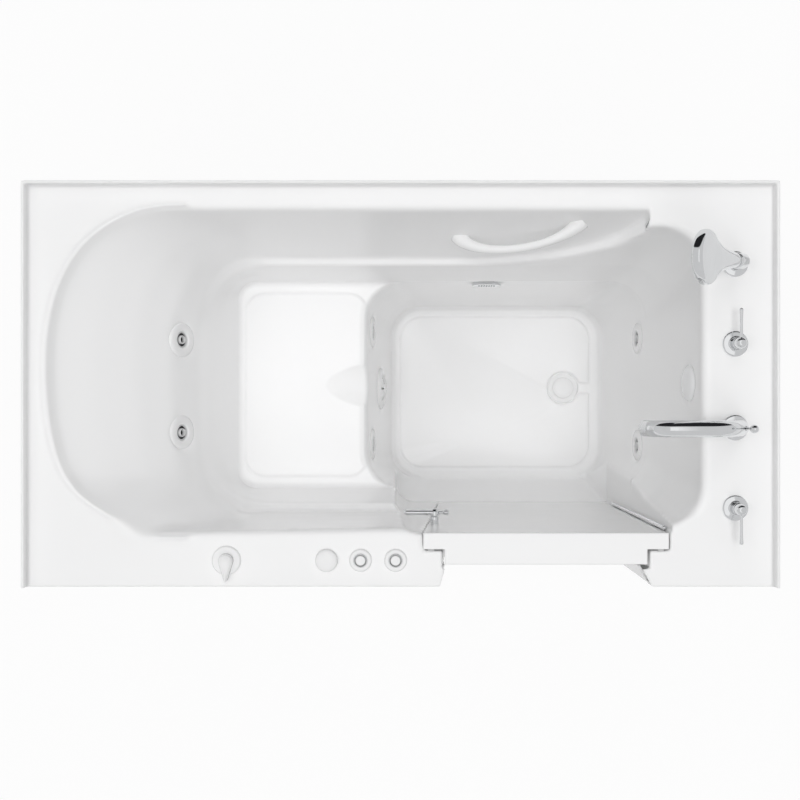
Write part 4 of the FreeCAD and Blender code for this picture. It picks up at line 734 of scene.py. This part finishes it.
stand_in("jet_rings", merge(*[turned_set([ring_outline], joint) for joint in jets]), "jet_escutcheons")
for joint in jets:
    place = joint["child"].replace("jet_", "")
    nozzle = "jet_nozzle_" + place
    stand_in("jet_face_" + place, turned_set([groove_outline, throat_outline], joint), nozzle)
    # The black discs in the pump plastic finish are painted shade in the groove and the throat.
    add_piece("jet_throat_" + place, turned_set(shade_disc_outlines, joint), nozzle, "pump_plastic")
print("jets:", [joint["child"] for joint in jets])

# %% [markdown]
# ## Controls on the front deck
# A teardrop knob works the waste, a domed dial lets air into the jets, and two buttons start the jets and
# the light. The teardrop is a round body and a small tip joined by straight sides; its rings shrink
# towards the top, which rounds the edge.

# %% Controls
control_y = -0.356
knob_x, dial_x = -0.353, -0.150
knob_radius, tip_radius, tip_reach, knob_rise = 15 * mm, 4 * mm, 37.6 * mm, 16 * mm
knob_seat, dial_seat, least_tip = 5.3 * mm, 3.3 * mm, 0.4 * mm
body_steps, tip_steps = 40, 12


def teardrop(inset, z):
    """Ring of a round body drawn out to a small tip in -Y."""
    wide, narrow = knob_radius - inset, max(tip_radius - inset, least_tip)
    lean = math.acos((wide - narrow) / tip_reach)
    tip_y = control_y - tip_reach
    ring = []
    for step in range(body_steps + 1):
        turn = -math.pi / 2 + lean + (math.tau - 2 * lean) * step / body_steps
        ring.append(Vector((knob_x + wide * math.cos(turn), control_y + wide * math.sin(turn), z)))
    for step in range(tip_steps + 1):
        turn = -math.pi / 2 - lean + 2 * lean * step / tip_steps
        ring.append(Vector((knob_x + narrow * math.cos(turn), tip_y + narrow * math.sin(turn), z)))
    return ring


def knob():
    """Teardrop rings that draw in towards a slightly crowned top."""
    low = deck_z + knob_seat
    edge = soften([(0, 0), (0.6 * mm, knob_rise * 0.8), (3.4 * mm, knob_rise)], 3 * mm)
    rings = [teardrop(inset, low + high) for inset, high in edge]
    middle = Vector((knob_x, control_y - 8 * mm, low + knob_rise * 1.02))
    return skin([[Vector((knob_x, control_y, low))]] + rings + [[middle]])


def dial():
    """A low dome with a rounded edge."""
    outline = [(0, 0), (22.6, 0), (22.8, 3), (20.5, 6.6), (12, 8.6), (0, 9)]
    return lathe(soften(scaled(outline), 4 * mm), (dial_x, control_y, deck_z + dial_seat))


stand_in("waste_teardrop", knob(), "drain_knob")
stand_in("air_dial_dome", dial(), "air_control_cap")
print("controls along y", control_y)

# %% [markdown]
# ## Drain, lamp lens and grab bar
# The stopper is a low white dome over a ring in the floor, and the lamp is a shallow lens on the foot wall.
# The grab bar is moulded in one sweep: slim in the middle, and swelling to broad feet on the wall. A
# curve with two pull points gives the sweep, and the bar's thickness grows with the distance from its middle.

# %% Drain, lens and grab bar
drain_place = (0.450, 0.005, 0.120)
bar_left, bar_right = Vector((0.126, 0.3183, 0.800)), Vector((0.377, 0.3378, 0.873))
wall_out = Vector((0, -0.966, 0.258))
bar_stand, bar_sink, bar_steps = 54 * mm, 5 * mm, 80
bar_slim, bar_swell, swell_power = 8.6, 10, 3.2
left_pull, right_pull = 0.12, 0.2
lens_sink = 0.6 * mm


def lens():
    """A bulging lens on the foot wall, under the taps."""
    low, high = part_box("light_lens")
    middle = (low + high) / 2
    wall_facing = Vector(jets[-1]["axis"])
    foot = Vector((high.x - lens_sink, middle.y, middle.z))
    outline = [(39, 0), (39, 3), (35, 8), (25, 11.5), (12, 13), (0, 13.2)]
    return lathe(soften(scaled(outline), 6 * mm), foot, wall_facing)


def stopper():
    """A low dome and the stem under it."""
    outline = [(0, 4.3), (28.5, 4.3), (29, 6), (27, 8.6), (18, 10.6), (0, 11.3)]
    return merge(lathe(soften(scaled(outline), 4 * mm), drain_place),
                 lathe(scaled([(6, -19), (6, 6)]), drain_place))


def bar_path():
    """The sweep from foot to foot, which the two pull points draw away from the wall."""
    along = bar_right - bar_left
    start, end = bar_left - wall_out * bar_sink, bar_right - wall_out * bar_sink
    pull_a = bar_left + wall_out * bar_stand + along * left_pull
    pull_b = bar_right + wall_out * bar_stand - along * right_pull
    path = []
    for step in range(bar_steps + 1):
        t = step / bar_steps
        path.append(start * (1 - t) ** 3 + pull_a * 3 * t * (1 - t) ** 2
                    + pull_b * 3 * t * t * (1 - t) + end * t ** 3)
    return path


def bar_thickness(share):
    """Slim in the middle, broad at both feet."""
    return (bar_slim + bar_swell * abs(2 * share - 1) ** swell_power) * mm


stand_in("drain_dome", stopper(), "drain_stopper")
stand_in("lamp_lens", lens(), "light_lens")
stand_in("grab_sweep", tube(bar_path(), bar_thickness), "grab_bar")
print("grab bar from", rounded(bar_left), "to", rounded(bar_right))

# %% [markdown]
# ## Studio
# The tub stands on a pale floor that a camera sees as white, so only its soft shadow shows there. One wide
# lamp is overhead, and weaker ones lean in from the sides to light the walls of the well. The chrome
# needs something to mirror: a white ceiling panel, grey sides and one dark panel behind the tub, which
# only mirror rays see. The camera sees the air as white, like the floor.

# %% Studio
floor_half = 12.0
white, side_grey, panel_dark = (1.0, 1.0, 1.0), (0.68, 0.68, 0.685), (0.02, 0.02, 0.022)
plain_air, floor_grey = (0.31, 0.31, 0.311), (0.9, 0.9, 0.9)
ceiling_half = (0.27, 0.42)
dark_from, panel_sharpness = 0.52, 20.0
floor_drop, floor_glow_share = 0.5 * mm, 0.88
side_lean, side_spread = 34, 30


def stage_floor():
    """A grey floor that takes the shadow, and glows white to the camera for most of its share."""
    bpy.ops.mesh.primitive_plane_add(size=floor_half * 2, location=(0, 0, -floor_drop))
    floor = bpy.context.object
    floor.name = "studio_floor"
    finish, shader = new_finish("studio_floor", Roughness=0.9)
    finish.plug(shader.inputs["Base Color"], floor_grey)
    seen = finish.node("ShaderNodeLightPath", output="Is Camera Ray")
    glow = finish.node("ShaderNodeEmission", None, {"Color": white, "Strength": 1.0})
    body = Wire(finish, shader.outputs["BSDF"])
    both = finish.node("ShaderNodeMixShader", None, {0: seen * floor_glow_share, 1: body, 2: glow})
    finish.plug(finish.tree.nodes["Material Output"].inputs["Surface"], both)
    floor.data.materials.append(finish.owner)


def soft_sun(name, tilt, spread, strength):
    """A wide lamp that isn't mirrored; tilt turns it from straight down about X and Y, in degrees."""
    data = bpy.data.lights.new(name, "SUN")
    data.energy, data.angle = strength, math.radians(spread)
    lamp = bpy.data.objects.new(name, data)
    bpy.context.scene.collection.objects.link(lamp)
    lamp.rotation_euler = (math.radians(tilt[0]), math.radians(tilt[1]), 0)
    lamp.visible_glossy = False


def studio_air():
    """Even light, with panels for mirror rays and white for the camera's."""
    world = Finish(bpy.data.worlds.new("studio_air"))
    bpy.context.scene.world = world.owner
    heading = world.node("ShaderNodeTexCoord", output="Generated")
    along, back, up = [world.node("ShaderNodeSeparateXYZ", None, {"Vector": heading}, axis) for axis in "XYZ"]

    def inside(margin):
        """1 where a margin is positive, with a narrow soft edge."""
        settings = {"operation": "MULTIPLY", "use_clamp": True}
        return world.node("ShaderNodeMath", settings, {0: margin, 1: panel_sharpness})

    def either_way(value):
        return world.node("ShaderNodeMath", {"operation": "ABSOLUTE"}, {0: value})

    ceiling = inside(ceiling_half[0] - either_way(along)) * inside(ceiling_half[1] - either_way(back))
    ceiling = ceiling * inside(up)
    panels = world.mix(inside(back - dark_from), world.mix(ceiling, side_grey, white), panel_dark)
    mirrored = world.node("ShaderNodeLightPath", output="Is Glossy Ray")
    seen = world.node("ShaderNodeLightPath", output="Is Camera Ray")
    air = world.mix(seen, world.mix(mirrored, plain_air, panels), white)
    world.plug(world.tree.nodes["Background"].inputs["Color"], air)


stage_floor()
soft_sun("overhead", (2, 0), spread=24, strength=0.92)
soft_sun("from_front", (side_lean, 0), side_spread, strength=0.32)
soft_sun("from_back", (-side_lean, 0), side_spread, strength=0.3)
soft_sun("from_seat", (0, -side_lean), side_spread, strength=0.36)
soft_sun("from_foot", (0, side_lean), side_spread, strength=0.16)
studio_air()
bpy.context.scene.view_settings.view_transform = "Standard"
print("studio lit by", len(bpy.data.lights), "lamps")

# %% [markdown]
# ## Camera
# The photograph looks straight down. Its focal length and height follow from how much smaller the floor of
# the well appears than the deck, and the small shifts put the point under the lens where it is there.

# %% Camera
camera_data = bpy.data.cameras.new("camera")
camera_data.sensor_width = 36.0
camera_data.lens = 49.37
camera_data.shift_x, camera_data.shift_y = -0.000625, 0.00375
camera = bpy.data.objects.new("camera", camera_data)
bpy.context.scene.collection.objects.link(camera)
camera.location = (0.0, -0.037, 3.165)
camera.rotation_euler = (0.0, 0.0, 0.0)
bpy.context.scene.camera = camera
print("camera", rounded(camera.location))
